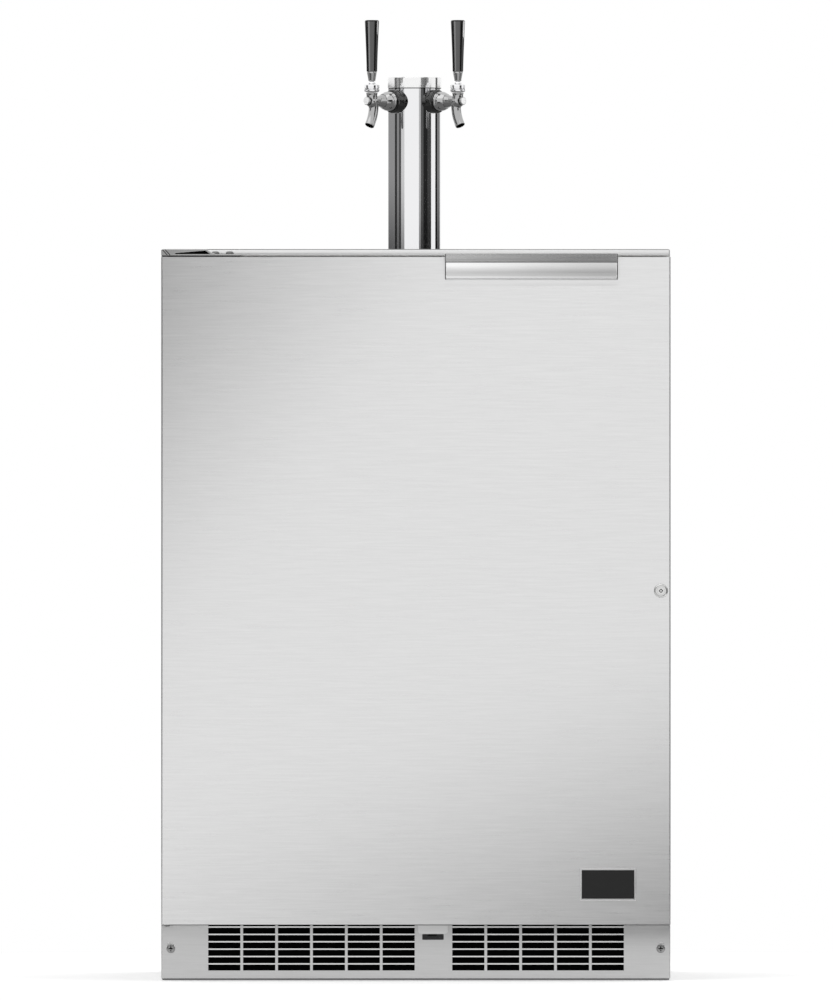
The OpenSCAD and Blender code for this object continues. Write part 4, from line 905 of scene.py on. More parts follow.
strap = {"left": -303.0, "right": -250.0, "low": 863.0, "plate": 1.5, "high": 870.4, "t": 1.7, "foot": -240.5,
         "front": -289.0, "back": -239.0, "block": -288.6, "leafX": -209.0, "leafZ": 848.0, "leafTop": 864.4,
         "leafT": 2.5, "pinR": 3.0, "pinLow": 847.0, "hinge": (-296.2, -279.0), "screws": (-221.5, -238.5),
         "screwY": -277.0, "head": ((0, 0), (5.0, 0), (5.0, 0.8), (4.7, 1.9), (3.8, 2.9), (2.4, 3.4), (0, 3.5)),
         "slot": ((-3, -0.6, 2.4), (3, 0.6, 5)), "leafScrews": (-220.0, -240.0), "leafScrewZ": 853.5,
         "leafHead": (4.0, 1.8), "leafShank": ((0, -16.5), (2, -15.5), (2, 0.2), (0, 0.2)), "spacerY": (4, 34),
         "lines": (-298.6, -295.4), "lineZ": 866.6, "lineLean": -42,
         "line": ((-0.45, -0.12, -4.4), (0.45, 0.6, 4.4))}


def buildUpperHinge():
    s = sized(strap)
    low, high, floor = s.low, s.high, s.low + s.plate
    # corner block and the strap that rises from it and drops back on to the plate
    section = [(s.left, low), *near(s.left, high, (0, -0.8), (1.2, -0.3)), *near(s.right, high, (-1.0, 0), (0.8, 0)),
               *near(s.foot, floor, (-2.2, 1.5), (0.6, 1.1), (1.4, 0), (-4.0, 0)),
               *near(s.right, high - s.t, (-0.5, 0), (-3.0, -0.2)), *near(s.block, floor, (2.5, 1.3), (1.6, 0)),
               (s.block, low)]
    bm = prism([(x, s.front, z) for x, z in section], (0, s.back - s.front, 0), 0.35, 3, 25)
    addBox(bm, (s.block - 2.0, s.front + 0.8, low), (s.leafX, s.back, floor), 0.3, 2)
    addInto(bm, box((s.left + 0.4, s.back - s.leafT, s.leafZ), (s.leafX, s.back, s.leafTop), 0.7, 3,
                    below(yAxis, s.back - 1)))
    pin = [(0, s.pinLow), *near(s.pinR, s.pinLow, (-0.5, 0), (0, 0.6)), (s.pinR, low + 1), (0, low + 1)]
    addInto(bm, turned(pin, (*s.hinge, 0), steps=32))
    finishPiece(bm, "upperHinge", "strapChrome", "cabinet", "polished_steel", "upper_hinge", sharp=40)
    # painted shade: a black wedge fills the gap under the strap where its shadow falls, with two thin black bars on
    # the corner block's front for its shaded grooves
    wedge = [(s.foot - 4.6, floor - 0.2), (s.right - 1.2, high - s.t - 0.3),
             *near(s.block, floor, (2.8, 1.0), (2.0, -0.2))]
    start, reach = s.spacerY
    shadeWedge = prism([(x, s.front + start, z) for x, z in wedge], (0, reach, 0))
    for x in s.lines:
        lean = Matrix.Rotation(math.radians(s.lineLean), 4, "Y")
        addInto(shadeWedge, box(*s.line, 0.1, 1), Matrix.Translation((x, s.front, s.lineZ)) @ lean)
    finishPiece(shadeWedge, "hingeShadeWedge", "filterBlack", "cabinet", "black_plastic")
    screws = bmesh.new()
    for x in s.screws:
        head = paint(cutAway(turned(s.head, steps=40), box(*s.slot)), 2)
        addInto(head, rod(2, -3.0, 0.2, steps=24))
        addInto(screws, head, Matrix.Translation((x, s.screwY, floor)))
    for x in s.leafScrews:
        place = onFront(x, s.back - s.leafT, s.leafScrewZ)
        addInto(screws, panScrew(*s.leafHead), place)
        addInto(screws, turned(s.leafShank, steps=24), place)
    finishPiece(screws, "hingeScrews", "zincScrew filterBlack darkSteel", "cabinet", "zinc_screws", "hinge_screws")


buildUpperHinge()

lowHinge = {"at": (-296.2, -279.0), "z": 67.0, "armT": 4.0, "armR": 5.7, "left": -303.0, "front": -239.0,
            "leafX": -263.0, "leafTop": 160.0, "leafT": 2.5, "leafUp": 0.3, "pinR": 3.0, "pinIn": 14.0,
            "headR": 3.9, "headH": 2.4}


def buildLowerHinge():
    h = sized(lowHinge)
    x, y = h.at
    outline = arc(h.at, h.armR, 180, 360, 16) + [(x + h.armR, h.front), (x - h.armR, h.front)]
    bm = prism([(px, py, h.z) for px, py in outline], (0, 0, h.armT), 0.5, 2, 60)
    addInto(bm, box((h.left, h.front - h.leafT, h.z + h.leafUp), (h.leafX, h.front, h.leafTop), 0.7, 3,
                    below(yAxis, h.front - 1)))
    top = h.z + h.armT
    end = top + h.pinIn
    pin = [(0, top - 1), (h.pinR, top - 1), *near(h.pinR, end, (0, -0.6), (-0.6, 0)), (0, end)]
    addInto(bm, turned(pin, (x, y, 0), steps=32))
    under = h.z - h.headH
    head = [(0, under), (h.headR - 1.4, under), *near(h.headR, h.z, (-0.4, -1.4), (0, 0.5)), (0, h.z + 0.5)]
    addInto(bm, turned(head, (x, y, 0), steps=32))
    finishPiece(bm, "lowerHinge", "darkSteel", "cabinet", "dark_steel", "lower_hinge")


buildLowerHinge()
print("hinges done")


# Tower: polished column and cap

tower = {"y": 38.0, "r": 31.75, "wall": 1.6, "z0": 872.0, "z1": 1066.5, "capR": 32.25, "capH": 13.8, "bevel": 0.8,
         "plug": 3.1, "plugWall": 2.0, "joint": 0.9, "steps": 160}


def buildTower():
    t = sized(tower)
    inner, at = t.r - t.wall, (0, t.y, 0)
    column = tube(inner, t.r, t.z0, t.z1, at, t.steps)
    finishPiece(column, "towerColumn", "chrome", "cabinet", "polished_steel", "tower_column")
    top, joint, snug = t.z1 + t.capH, t.z1 + t.joint, inner - 0.1
    plug = [(snug - t.plugWall, t.z1 + 0.5), (snug - t.plugWall, t.z1 - t.plug), (snug, t.z1 - t.plug), (snug, t.z1)]
    edge = [(t.r - 0.1, t.z1), (t.r - 0.1, joint), *near(t.capR, joint, (-0.2, 0), (0, 0.2))]
    crown = [*near(t.capR, top - t.bevel, (0, 0), (-0.25, 0.5)),
             *near(t.capR - t.bevel, top, (0.5, -0.2), (0, 0)), (0, top)]
    cap = turned(plug + edge + crown, at, steps=t.steps)
    bmesh.ops.contextual_create(cap, geom=rimEdges(cap))
    # painted shade: the groove at the joint between cap and column is painted black for the shadow line in it
    paint(cap, 1, lambda face, at: t.z1 - 0.1 < at.z < joint + 0.05)
    finishPiece(cap, "towerCap", "capChrome filterBlack", "cabinet", "polished_steel", "tower_cap", sharp=36)


buildTower()

# Taps: each is modelled with +X out along its shank and Z up from the tap's axis

tap = {"angle": 45.0, "axisZ": 1051.0, "shankR": 9.6, "flangeR": 14.2, "flareR": 16.2,
       "seatU": 26.6, "flangeU": 41.0,
       "flangeRim": ((0, -2.4), (-0.5, -1.4), (-1.2, -1.0), (-2.0, -0.9), (-2.3, 0)),
       "nutR": 11.6, "nut": (41.5, 55.0),
       "nutRings": ((-0.8, 0), (0, 0.8), (0, 2.6), (-0.5, 3.0), (-0.5, 3.6), (0, 4.0), (0, 5.4), (-0.35, 7.4)),
       "nutTaper": ((-1.1, -4.2), (-2.1, -2.0), (-2.8, -0.5), (-3.3, 0)), "nutBore": 7.1, "nutLip": 4.5,
       "spanner": 1.6, "spannerU": 7.6, "neckR": 7.0, "neck": ((0.6, 49), (0.9, 55.5), (0.2, 58.5), (-0.7, 63)),
       "tailR": 9.0, "headR": 7.2, "leverU": 73.0, "waistR": 6.4, "bonnetR": 9.0, "bonnetZ": 10.2, "bonnetTop": 19.9,
       "bonnetLow": ((-1.6, 0), (-0.5, 0.9), (-0.1, 1.6), (0, 3.6), (-0.6, 4.1), (-0.6, 4.9), (0, 5.4)),
       "bonnetHigh": ((0, -1.2), (-0.5, -0.4), (-1.3, 0)), "bonnetBore": 5.2, "seatR": 4.5,
       "pivot": 20.5, "ballR": 4.3, "stemR": 2.6, "stemLen": 30.0,
       "toe": ((0, -7.5), (1.3, -7.5), (1.8, -7.0), (1.8, -4)),
       "ferrule": (24.0, 35.2, 4.15, 6.0), "ferruleBore": 2.65, "grip": (35.2, 97.2, 6.4, 8.6),
       "gripBore": 2.7, "gripDeep": 16,
       "gripTop": ((-0.25, -0.9), (-0.9, -0.3), (-1.9, 0)), "capR": 5.0, "capU": 82.9, "ringR": 5.3, "ringU": 80.6,
       "capRim": ((0, -0.9), (-0.3, -0.3), (-0.8, 0), (-1.1, -0.25), (-1.4, 0)),
       "tip": (77.3, -29.6), "lean": 33.0, "bend": 45.6, "swing": 37.7, "spoutR": 5.8, "bore": 5.1, "voxel": 0.42}
sides = {"left": -1, "right": 1}


def tapFrame(side):
    return Matrix.Translation((0, tower["y"], tap["axisZ"])) @ spun(-90 + side * tap["angle"])


def ontoTaps(maker):
    bm = bmesh.new()
    for side in sides.values():
        addInto(bm, maker(), tapFrame(side))
    return bm


def flangeShape():
    t = sized(tap)
    r, u = t.flangeR, t.flangeU
    flare = [(t.shankR, t.seatU), (t.flareR, t.seatU), (t.flareR - 0.9, 29.2), (r + 0.3, 31.6), (r, 33.5)]
    return turned(flare + near(r, u, *t.flangeRim) + [(t.shankR, u), (t.shankR, t.seatU)], axis=outX, steps=72)


def nutShape():
    t = sized(tap)
    r, (u0, u1) = t.nutR, t.nut
    step = u1 - t.nutLip
    bm = turned([(t.shankR, u0), *near(r, u0, *t.nutRings), *near(r, u1, *t.nutTaper), (t.nutBore, u1),
                 (t.nutBore, step), (t.shankR, step), (t.shankR, u0)], axis=outX, steps=72)
    # turned by half a step, so that no edge runs through a hole's axis
    moved(bm, Matrix.Rotation(math.radians(2.5), 4, "X"))
    for i in range(4):
        hole = rod(t.spanner, r - 2.2, r + 2, (u0 + t.spannerU, 0, 0), steps=20)
        bm = cutAway(bm, moved(hole, Matrix.Rotation(math.radians(45 + 90 * i), 4, "X")))
    return bm


def faucetShape():
    t = sized(tap)
    u, (tipU, tipZ) = t.leverU, t.tip
    core = turned([(0, 49), *near(t.neckR, 0, *t.neck), (t.neckR - 0.9, u), (0, u)], axis=outX)
    ball = bmesh.new()
    bmesh.ops.create_uvsphere(ball, u_segments=48, v_segments=24, radius=t.headR)
    addInto(core, ball, Matrix.Translation((u, 0, -1.0)))
    under = t.bonnetZ - 0.4
    waist = [(0, -3), *near(t.waistR, 0, (0.4, -3), (0, 4), (0, 7), (0.6, under)), (0, under)]
    addTurned(core, waist, (u, 0, 0), steps=48)
    # the spout bends outwards as it comes down
    lean = math.radians(t.lean)
    spout = Matrix.Translation((tipU, 0, tipZ)) @ Matrix.Rotation(-lean, 4, "Y")
    pipe = bmesh.new()
    ring = bmesh.ops.create_circle(pipe, cap_ends=True, segments=56, radius=t.spoutR,
                                   matrix=spout @ Matrix.Translation((0, 0, 1.2)))
    bmesh.ops.spin(pipe, geom=ring["verts"] + pipe.edges[:] + pipe.faces[:], axis=outY, angle=math.radians(t.swing),
                   cent=(tipU + t.bend * math.cos(lean), 0, tipZ + t.bend * math.sin(lean)), steps=18, use_merge=False)
    bmesh.ops.recalc_face_normals(pipe, faces=pipe.faces)
    addInto(core, pipe)
    bore = turned([(0, -6), (t.bore, -6), (t.bore, 6), (0, 9)], steps=40)
    bm = cutAway(castTogether(core, t.voxel, 9), moved(bore, spout))
    # crisp parts that were turned after casting: tail, cap boss in near-black chrome (painted shade), spout lip, and a
    # black disc in the bore for the shade in the mouth (painted shade)
    tail = [(0, 48), (t.tailR, 48), (t.tailR, 49.4), *near(t.neckR, 0, (-0.2, 49.6), (-0.2, 52)), (0, 52)]
    addInto(bm, turned(tail, axis=outX, steps=48))
    boss = [(0, u + 3), (t.ringR, u + 3), *near(t.ringR, t.ringU, (0, -0.4), (-0.4, 0)), (0, t.ringU)]
    # painted shade: the boss gets the near-black chrome, for a dark ring round the cap
    addInto(bm, paint(turned(boss, axis=outX, steps=48), 1))
    lip = [*near(t.bore, 0, (0, 0.3), (0.2, 0)), *near(t.spoutR, 0, (-0.2, 0), (0, 0.4), (0.02, 2.4)),
           *near(t.bore, 0, (0.3, 2.4), (0, 2.2), (0, 0.3))]
    addInto(bm, turned(lip, steps=56), spout)
    # painted shade: a black disc inside the bore for the dark inside of the spout
    addInto(bm, paint(rod(t.bore - 0.02, 1.6, 2.2, steps=40), 2), spout)
    return bm


def frontCapShape():
    t = sized(tap)
    low = t.ringU - 1
    bm = turned([(0, low), (t.capR, low), *near(t.capR, t.capU, *t.capRim), (0, t.capU)], axis=outX, steps=48)
    return paint(bm, 1, lambda face, at: at.yz.length > t.capR - 0.7 or at.x < t.capU - 0.4)


def bonnetShape():
    t = sized(tap)
    r, z0, z1 = t.bonnetR, t.bonnetZ, t.bonnetTop
    inside = [(5.6, z1), *near(t.seatR, z1, (0, -1.0), (0, -3.0)), (t.bonnetBore, z1 - 4.5), (t.bonnetBore, z0)]
    outside = near(r, z0, *t.bonnetLow) + near(r, z1, *t.bonnetHigh)
    return turned([(t.bonnetBore, z0), *outside, *inside], (t.leverU, 0, 0))


def leverShape():
    t = sized(tap)
    p, end = t.pivot, t.pivot + t.stemLen
    ball = arc((0, p), t.ballR, -66, 56, 18)
    stem = [(t.stemR, p + 3.6), (t.stemR, end), (0, end)]
    return turned([*near(0, p, *t.toe), *ball, *stem], (t.leverU, 0, 0), steps=48)


def ferruleShape():
    z0, z1, r0, r1 = tap["ferrule"]
    bore = tap["ferruleBore"]
    flank = near(r0, z0, (-0.5, 0), (0, 0.5), (0.12, 1.4)) + near(r1, z1, (-0.2, -1.8), (0, -0.9), (-0.2, 0))
    return turned([(bore, z0), *flank, (bore, z1), (bore, z0)], (tap["leverU"], 0, 0), steps=56)


def gripShape():
    z0, z1, r0, r1 = tap["grip"]
    h = z1 - z0
    flank = [(r0 + (r1 - r0) * (i / 8) ** 1.25, z0 + 0.6 + (h - 2.4) * i / 8) for i in range(9)]
    bore, end = tap["gripBore"], z0 + tap["gripDeep"]
    return turned([(0, end), (bore, end), (bore, z0), (r0 - 0.5, z0), *flank, *near(r1, z1, *tap["gripTop"]), (0, z1)],
                  (tap["leverU"], 0, 0))


tapPieces = (("tapFlanges", flangeShape, "flangeChrome", "tap_flanges"),
             ("couplingNuts", nutShape, "nutChrome", "coupling_nuts"),
             ("faucets", faucetShape, "castChrome flangeChrome filterBlack", "faucets"),
             ("frontCaps", frontCapShape, "capFace nutChrome"), ("bonnets", bonnetShape, "chrome", "bonnets"))
leverPieces = (("lever", leverShape, "chrome", "polished_steel"),
               ("ferrule", ferruleShape, "nutChrome", "polished_steel"),
               ("grip", gripShape, "gripBlack", "grip_black"))


def buildTaps():
    for name, maker, looks, *stands in tapPieces:
        finishPiece(ontoTaps(maker), name, looks, "cabinet", "polished_steel", *stands, sharp=40)
    for name, side in sides.items():
        for label, maker, look, slot in leverPieces:
            finishPiece(moved(maker(), tapFrame(side)), label + name.capitalize(), look, "tap_" + name, slot,
                        label + "_" + name, sharp=40)


buildTaps()
print("tower and taps done")


# Feet and the mains gland

feet = {"at": [(x, y) for x in (-258.0, 258.0) for y in (-194.0, 270.0)], "r": 16.0, "pad": 9.0, "hex": 9.8,
        "panZ": 18.0, "stemR": 5.0, "stemUp": 22.0, "turns": 30, "pitch": 0.75, "thread": 0.5, "lap": 0.5,
        "foot": ((-0.8, 0), (0, 0.8), (0, 5.2), (-0.6, 6.4)), "shoulder": ((-3.0, -0.3), (-3.8, 0))}


def buildFeet():
    f = sized(feet)
    bm = bmesh.new()
    low, seat = f.pad - f.lap, f.panZ - f.lap
    thread = [(f.stemR - (f.thread if i % 2 else 0.0), seat + i * f.pitch) for i in range(f.turns)]
    for x, y in f.at:
        at = (x, y, 0)
        addTurned(bm, [(0, 0), *near(f.r, 0, *f.foot), *near(f.r, f.pad, *f.shoulder), (0, f.pad)], at, steps=48)
        addTurned(bm, [(0, low), (f.hex, low), (f.hex, f.panZ), (0, f.panZ)], at, steps=6)
        addTurned(bm, [(0, seat), *thread, (0, f.panZ + f.stemUp)], at, steps=28)
    finishPiece(bm, "levellingFeet", "darkSteel", "cabinet", "dark_steel", "levelling_feet", sharp=38)


buildFeet()

gland = {"at": (-203.0, 315.0, 60.0), "r": 10.0, "bore": 4.5, "deep": -14.0, "flangeR": 13.0, "flange": (-4.2, -1.2)}


def buildGland():
    g = sized(gland)
    r, b, (u0, u1) = g.r, g.bore, g.flange
    bm = turned([(b, g.deep), *near(r, g.deep, (-0.5, 0), (0, 0.5)), (r, u0), (g.flangeR, u0), (g.flangeR, u1),
                 (r, u1), *near(r, 0, (0, -0.5), (-0.5, 0)), *near(b, 0, (1.2, 0), (0, -1.2)), (b, g.deep)], steps=48)
    finishPiece(moved(bm, onBack(*g.at)), "mainsGland", "blackPlastic", "cabinet", "black_plastic", "mains_gland",
                sharp=38)


buildGland()


# CAD nodes that keep their shape get the finishes too

kept = {
    "plateSteel": ["front_frame"],
    "zincSheet": ["deck_plate", "base_pan", "kick_brackets", "tower_ring", "strike_box"],
    "castChrome": ["shanks"],
    "zincScrew": ["tower_screws"],
    "blackPaint": ["condenser", "compressor"],
    "finAluminium": ["evaporator_coil"],
    "copper": ["discharge_pipe"],
    "blackPlastic": ["condenser_shroud", "drain_pan", "control_module", "hinge_shim"],
    "nylon": ["hinge_bushes"],
    "rubber": ["tower_seal", "compressor_mounts"],
    "foam": ["foam_body", "door_foam"],
}
for look, names in kept.items():
    for name in names:
        mesh = nodes[name].data
        mesh.materials.clear()
        mesh.materials.append(finish[look])
print("kept CAD nodes:", sum(len(names) for names in kept.values()))


# Studio: pale floor, white surround, soft lamps and cards that only metal sees

studio = {"floor": 7.0, "floorTone": 0.82, "floorRough": 0.9, "floorLift": 0.26, "floorFade": (0.7, 1.7),
          "worldFill": 0.62, "aim": (0, 0, 0.5),
          "lamps": (("keyLamp", (-1.6, -3.0, 2.6), 2.4, 46.0), ("fillLamp", (2.4, -2.4, 1.4), 2.0, 20.0),
                    ("topLamp", (0.2, 0.6, 3.2), 2.6, 34.0), ("rearLamp", (0.6, 3.4, 2.2), 2.4, 24.0))}


def stagePlane(name, corners, material, onlyGloss):
    bm = bmesh.new()
    bm.faces.new([bm.verts.new(c) for c in corners])
    mesh = bpy.data.meshes.new(name)
    bm.to_mesh(mesh)
    bm.free()
    mesh.materials.append(material)
    obj = bpy.data.objects.new(name, mesh)
    scene.collection.objects.link(obj)
    if onlyGloss:
        obj.visible_camera = obj.visible_diffuse = obj.visible_transmission = False
        obj.visible_shadow = obj.visible_volume_scatter = False
    return obj


def spanOf(tree, value, span, start=0.0, end=1.0):
    node = newNode(tree, "MapRange", Value=value, From_Min=span[0], From_Max=span[1], To_Min=start, To_Max=end)
    node.interpolation_type = "SMOOTHSTEP"
    return node.outputs[0]


def mixShaders(tree, amount, first, second):
    mix = newNode(tree, "MixShader")
    for socket, source in zip(mix.inputs, (amount, first.outputs[0], second.outputs[0])):
        tree.links.new(source, socket)
    return mix


def show(tree, shader):
    tree.links.new(shader.outputs[0], tree.nodes["Material Output"].inputs[0])


def buildFloor():
    material = bpy.data.materials.new("paleFloor")
    material.use_nodes = True
    tree = material.node_tree
    shader = tree.nodes["Principled BSDF"]
    tone = studio["floorTone"]
    for label, value in (("Base Color", (tone, tone, tone, 1)), ("Roughness", studio["floorRough"]),
                         ("Specular IOR Level", 0.0), ("Emission Color", (1, 1, 1, 1)),
                         ("Emission Strength", studio["floorLift"])):
        shader.inputs[label].default_value = value
    # past the object's shadow the floor turns into the plain white surround
    away = vectorNode(tree, "LENGTH", newNode(tree, "TexCoord").outputs["Object"])
    fade = spanOf(tree, away["Value"], studio["floorFade"])
    show(tree, mixShaders(tree, fade, shader, newNode(tree, "Emission")))
    f = studio["floor"]
    stagePlane("floor", [(-f, -f, 0), (f, -f, 0), (f, f, 0), (-f, f, 0)], material, False)


buildFloor()


# Cards: what a glow shows, who sees it, and where it stands

def emitMaterial(name, strength=1.0):
    material = bpy.data.materials.new(name)
    material.use_nodes = True
    tree = material.node_tree
    tree.nodes.clear()
    glow = newNode(tree, "Emission", Color=(strength, strength, strength, 1))
    newNode(tree, "OutputMaterial").name = "Material Output"
    show(tree, glow)
    return material, tree, glow


def hideBy(tree, glow, amount):
    show(tree, mixShaders(tree, amount, glow, newNode(tree, "BsdfTransparent")))


def hideFromBelow(tree, glow):
    hideBy(tree, glow, newNode(tree, "NewGeometry").outputs["Backfacing"])


def addClear(tree, glow):
    # the glow is added to whatever is behind it
    both = newNode(tree, "AddShader")
    for socket, source in zip(both.inputs, (glow, newNode(tree, "BsdfTransparent"))):
        tree.links.new(source.outputs[0], socket)
    show(tree, both)


def placeOf(tree):
    return newNode(tree, "SeparateXYZ", Vector=newNode(tree, "TexCoord").outputs["Object"]).outputs


def rayLength(tree):
    return newNode(tree, "LightPath").outputs["Ray Length"]


def product(tree, first, second, glow):
    tree.links.new(mathNode(tree, "MULTIPLY", first, second), glow.inputs["Strength"])


def onlyFor(label, names):
    lit = bpy.data.collections.new(label)
    for name in names:
        lit.objects.link(bpy.data.objects[name])
    return lit


def cardRect(name, material, x, y, z):
    # an upright or a lying card between two corners
    (x0, x1), (y0, y1), (z0, z1) = x, y, z
    lying = [(x0, y0, z0), (x1, y0, z0), (x1, y1, z0), (x0, y1, z0)]
    upright = [(x0, y0, z0), (x1, y1, z0), (x1, y1, z1), (x0, y0, z1)]
    return stagePlane(name, lying if z0 == z1 else upright, material, True)


def roundCard(name, angles, reach, z, material):
    # an upright card between two angles from the front, round the tower
    middle = tower["y"] / 1000
    ends = [(reach * math.sin(math.radians(a)), middle - reach * math.cos(math.radians(a))) for a in angles]
    return cardRect(name, material, *zip(*ends), z)


softbox = {"y": -0.62, "x": 0.60, "low": -0.12, "high": 0.93, "tone": 1.01, "far": 0.60, "reach": (0.328, 0.43),
           "doorHalf": (0.303, 0.397), "doorMiddle": 0.464, "corner": (0.40, 0.565, 1.3, 0.50), "tilt": 0.28,
           "lower": (0.35, 0.88, 1.7, 0.56), "pastDoor": 0.6, "pastTop": 0.86}


def buildSoftbox():
    # close in front of the door, graded towards its upper left and its lower edge, and greyer where it is far off
    s = sized(softbox)
    material, tree, glow = emitMaterial("gradedSoftbox")
    at, length = placeOf(tree), rayLength(tree)

    def calc(operation, first, second, clamp=False):
        return mathNode(tree, operation, first, second, clamp=clamp)

    def falloff(value, start, width, power, depth):
        ramp = calc("MAXIMUM", calc("DIVIDE", calc("SUBTRACT", value, start), width), 0.0)
        return calc("SUBTRACT", 1.0, calc("MULTIPLY", calc("POWER", ramp, power), depth), True)

    across = calc("DIVIDE", at["X"], s.doorHalf[0])
    up = calc("DIVIDE", calc("SUBTRACT", at["Z"], s.doorMiddle), s.doorHalf[1])
    corner = falloff(calc("MULTIPLY", calc("SUBTRACT", up, across), 0.5), *s.corner)
    lower = falloff(calc("SUBTRACT", calc("MULTIPLY", across, s.tilt), up), *s.lower)
    product(tree, calc("MULTIPLY", corner, lower), spanOf(tree, length, s.reach, s.tone, s.far), glow)
    # the tower looks over the door through it
    past, over = calc("GREATER_THAN", length, s.pastDoor), calc("GREATER_THAN", at["Z"], s.pastTop)
    hideBy(tree, glow, calc("MULTIPLY", past, over))
    cardRect("softboxCard", material, (-s.x, s.x), (s.y, s.y), (s.low, s.high))


buildSoftbox()

plainCards = {"kick": {"x": (-0.36, 0.36), "y": (-0.345, -0.345), "z": (-0.06, 0.05), "tone": 0.94},
              "over": {"x": (-1.9, 0.5), "y": (-1.45, 0.1), "z": (2.4, 2.4), "tone": 1.5},
              "side": {"x": 1.15, "z": (0.0, 0.86),
                       "parts": ((-1.35, -0.62, 0.14), (-0.62, 0.75, 0.32), (0.75, 3.2, 0.2))},
              "top": {"x": (-0.29, 0.29), "y": (-0.29, 0.29), "z": (0.874, 0.874), "tone": 0.24}}


def buildPlainCards():
    for label, look in (("kick", "kickWhite"), ("over", "overSoftbox")):
        c = sized(plainCards[label])
        cardRect(label + "Card", emitMaterial(look, c.tone)[0], c.x, c.y, c.z)
    c = sized(plainCards["side"])
    for i, (y0, y1, tone) in enumerate(c.parts):
        grey = emitMaterial("sideGrey" + str(i), tone)[0]
        for label, x in (("leftCard", -c.x), ("rightCard", c.x)):
            cardRect(label + str(i), grey, (x, x), (y0, y1), c.z)
    # seen only from above, so that the taps find a dark table under them
    c = sized(plainCards["top"])
    material, tree, glow = emitMaterial("tapTable", c.tone)
    hideFromBelow(tree, glow)
    cardRect("tapTable", material, c.x, c.y, c.z)


buildPlainCards()

handleCards = {"pull": {"x": (0.0346, 0.2403), "y": (-0.3165, -0.3165), "z": (0.82, 0.88), "near": (0.0188, 0.0208),
                        "side": ((0.03, 0.25), 1.03, 0.67), "up": ((0.8315, 0.8625), 0.64, 1.12)},
               "under": {"x": (0.0346, 0.2403), "y": (-0.3165, -0.2975), "z": (0.8265, 0.8265),
                         "side": ((0.03, 0.25), 1.0, 0.7), "depth": ((-0.308, -0.3005), 0.7, 0.95)},
               "lip": {"x": (0.03, 0.245), "y": (-0.32, -0.3), "z": (0.828, 0.828), "near": 0.025,
                       "side": ((0.035, 0.2), 0.84, 0.3)}}


def buildHandleCards():
    # greyer to the right, for the pull handle alone, so rays from further off pass it
    c = sized(handleCards["pull"])
    material, tree, glow = emitMaterial("pullCard")
    at = placeOf(tree)
    product(tree, spanOf(tree, at["X"], *c.side), spanOf(tree, at["Z"], *c.up), glow)
    hideBy(tree, glow, spanOf(tree, rayLength(tree), c.near))
    cardRect("pullCard", material, c.x, c.y, c.z)
    # seen only from above, under the pull handle
    c = sized(handleCards["under"])
    material, tree, glow = emitMaterial("underCard")
    at = placeOf(tree)
    product(tree, spanOf(tree, at["X"], *c.side), spanOf(tree, at["Y"], *c.depth), glow)
    hideFromBelow(tree, glow)
    cardRect("underCard", material, c.x, c.y, c.z)
    # lies under the pull handle and lights the left of its lip, nothing else
    c = sized(handleCards["lip"])
    material, tree, glow = emitMaterial("lipCard")
    far = mathNode(tree, "GREATER_THAN", rayLength(tree), c.near)
    product(tree, far, spanOf(tree, placeOf(tree)["X"], *c.side), glow)
    addClear(tree, glow)
    card = cardRect("lipCard", material, c.x, c.y, c.z)
    card.light_linking.receiver_collection = onlyFor("handleOnly", ["pullHandle"])


buildHandleCards()

# strips hold two angles, a reach, the heights and a tone; flags hold two angles, a tone and a top

tapCards = {"strips": ((-70, -38, 1.6, (0.85, 1.3), 12.0), (-38, 42, 1.6, (0.85, 1.3), 5.6),
                       (78, 112, 1.6, (0.85, 1.3), 2.0), (84, 110, 0.25, (1.122, 1.2), 16.0)),
            "flags": ((-178, -97, 0.30, 1.104), (-97, -84, 0.04, 1.6), (-84, -73, 0.27, 1.6), (-73, -62, 0.08, 1.6),
                      (-62, -46, 0.66, 1.104), (18, 26, 0.5, 1.104), (26, 38, 0.10, 1.6), (38, 57, 0.02, 1.6),
                      (57, 76, 0.06, 1.104), (101, 114, 0.003, 1.6), (114, 142, 0.22, 1.104)),
            "flagReach": 2.0, "flagLow": 0.87, "flagFade": (0.83, 1.0), "flagDim": 0.12}


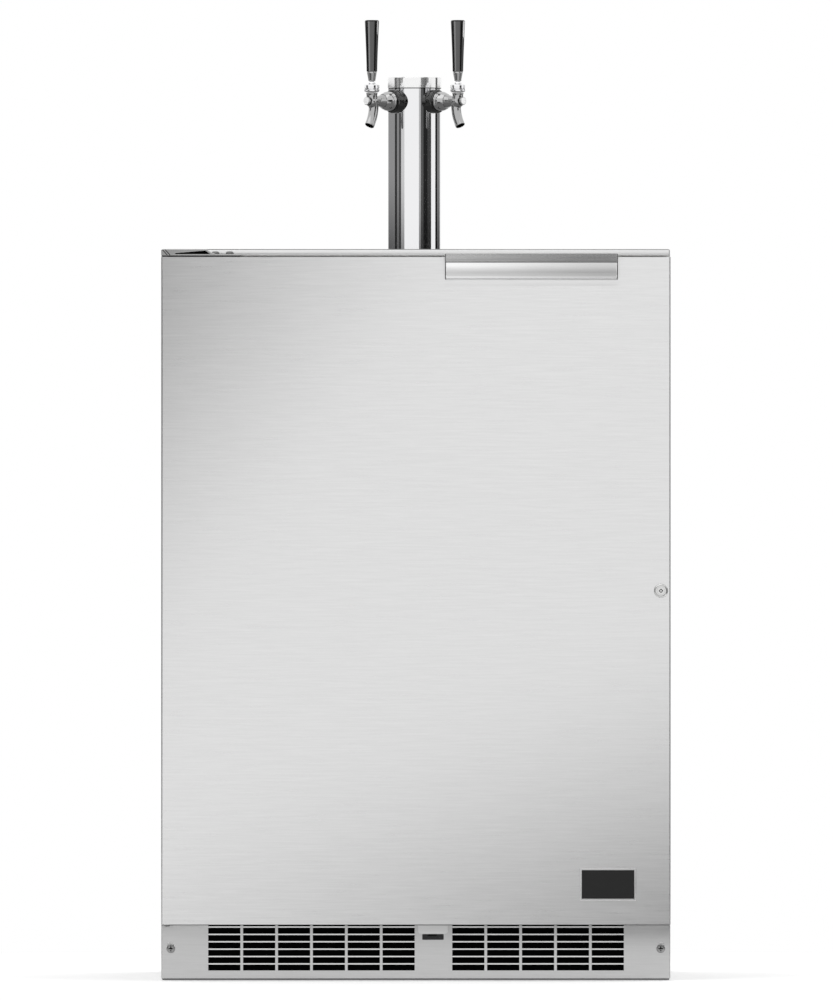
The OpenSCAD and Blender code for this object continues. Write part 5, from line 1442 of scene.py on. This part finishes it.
def buildTapCards():
    c = sized(tapCards)
    # bright strips that light nothing but the black grips
    gripsOnly = onlyFor("gripsOnly", ["grip" + name.capitalize() for name in sides])
    for i, (a0, a1, reach, z, tone) in enumerate(c.strips):
        material, tree, glow = emitMaterial("gripStrip" + str(i), tone)
        addClear(tree, glow)
        strip = roundCard("gripStrip" + str(i), (a0, a1), reach, z, material)
        strip.light_linking.receiver_collection = gripsOnly
    # flags and greys round the tower, darker low down; the cap looks over the shorter ones
    for i, (a0, a1, tone, top) in enumerate(c.flags):
        material, tree, glow = emitMaterial("flag" + str(i))
        fade = spanOf(tree, placeOf(tree)["Z"], c.flagFade, c.flagDim * tone, tone)
        tree.links.new(fade, glow.inputs["Strength"])
        roundCard("flagCard" + str(i), (a0, a1), c.flagReach, (c.flagLow, top), material)


buildTapCards()


def buildWorld():
    world = bpy.data.worlds.new("studio")
    scene.world = world
    world.use_nodes = True
    tree = world.node_tree
    tree.nodes.clear()
    path = newNode(tree, "LightPath").outputs
    seen = mathNode(tree, "MAXIMUM", path["Is Camera Ray"], path["Is Glossy Ray"])
    seen = mathNode(tree, "MAXIMUM", seen, path["Is Transmission Ray"])
    fill, white = [newNode(tree, "Background", Color=(1, 1, 1, 1), Strength=strength)
                   for strength in (studio["worldFill"], 1.0)]
    newNode(tree, "OutputWorld", Surface=mixShaders(tree, seen, fill, white).outputs[0])


buildWorld()

for name, place, size, power in studio["lamps"]:
    lamp = bpy.data.lights.new(name, "AREA")
    lamp.shape, lamp.size, lamp.energy = "DISK", size, power
    holder = bpy.data.objects.new(name, lamp)
    holder.location = place
    holder.rotation_euler = (Vector(studio["aim"]) - Vector(place)).to_track_quat("-Z", "Y").to_euler()
    holder.visible_glossy = False
    scene.collection.objects.link(holder)
print("studio done")

# a little left of the door's middle, and far off
camera = {"at": (-0.125, -30.295, 0.572), "lens": 908.0, "sensor": 36.0, "clip": 200.0, "turn": -0.0041905}
eye = bpy.data.cameras.new("camera")
eye.sensor_width, eye.lens, eye.clip_end = camera["sensor"], camera["lens"], camera["clip"]
eyeHolder = bpy.data.objects.new("camera", eye)
eyeHolder.location = camera["at"]
eyeHolder.rotation_euler = (math.radians(90), 0, camera["turn"])
scene.collection.objects.link(eyeHolder)
scene.camera = eyeHolder
scene.view_settings.view_transform = "Standard"
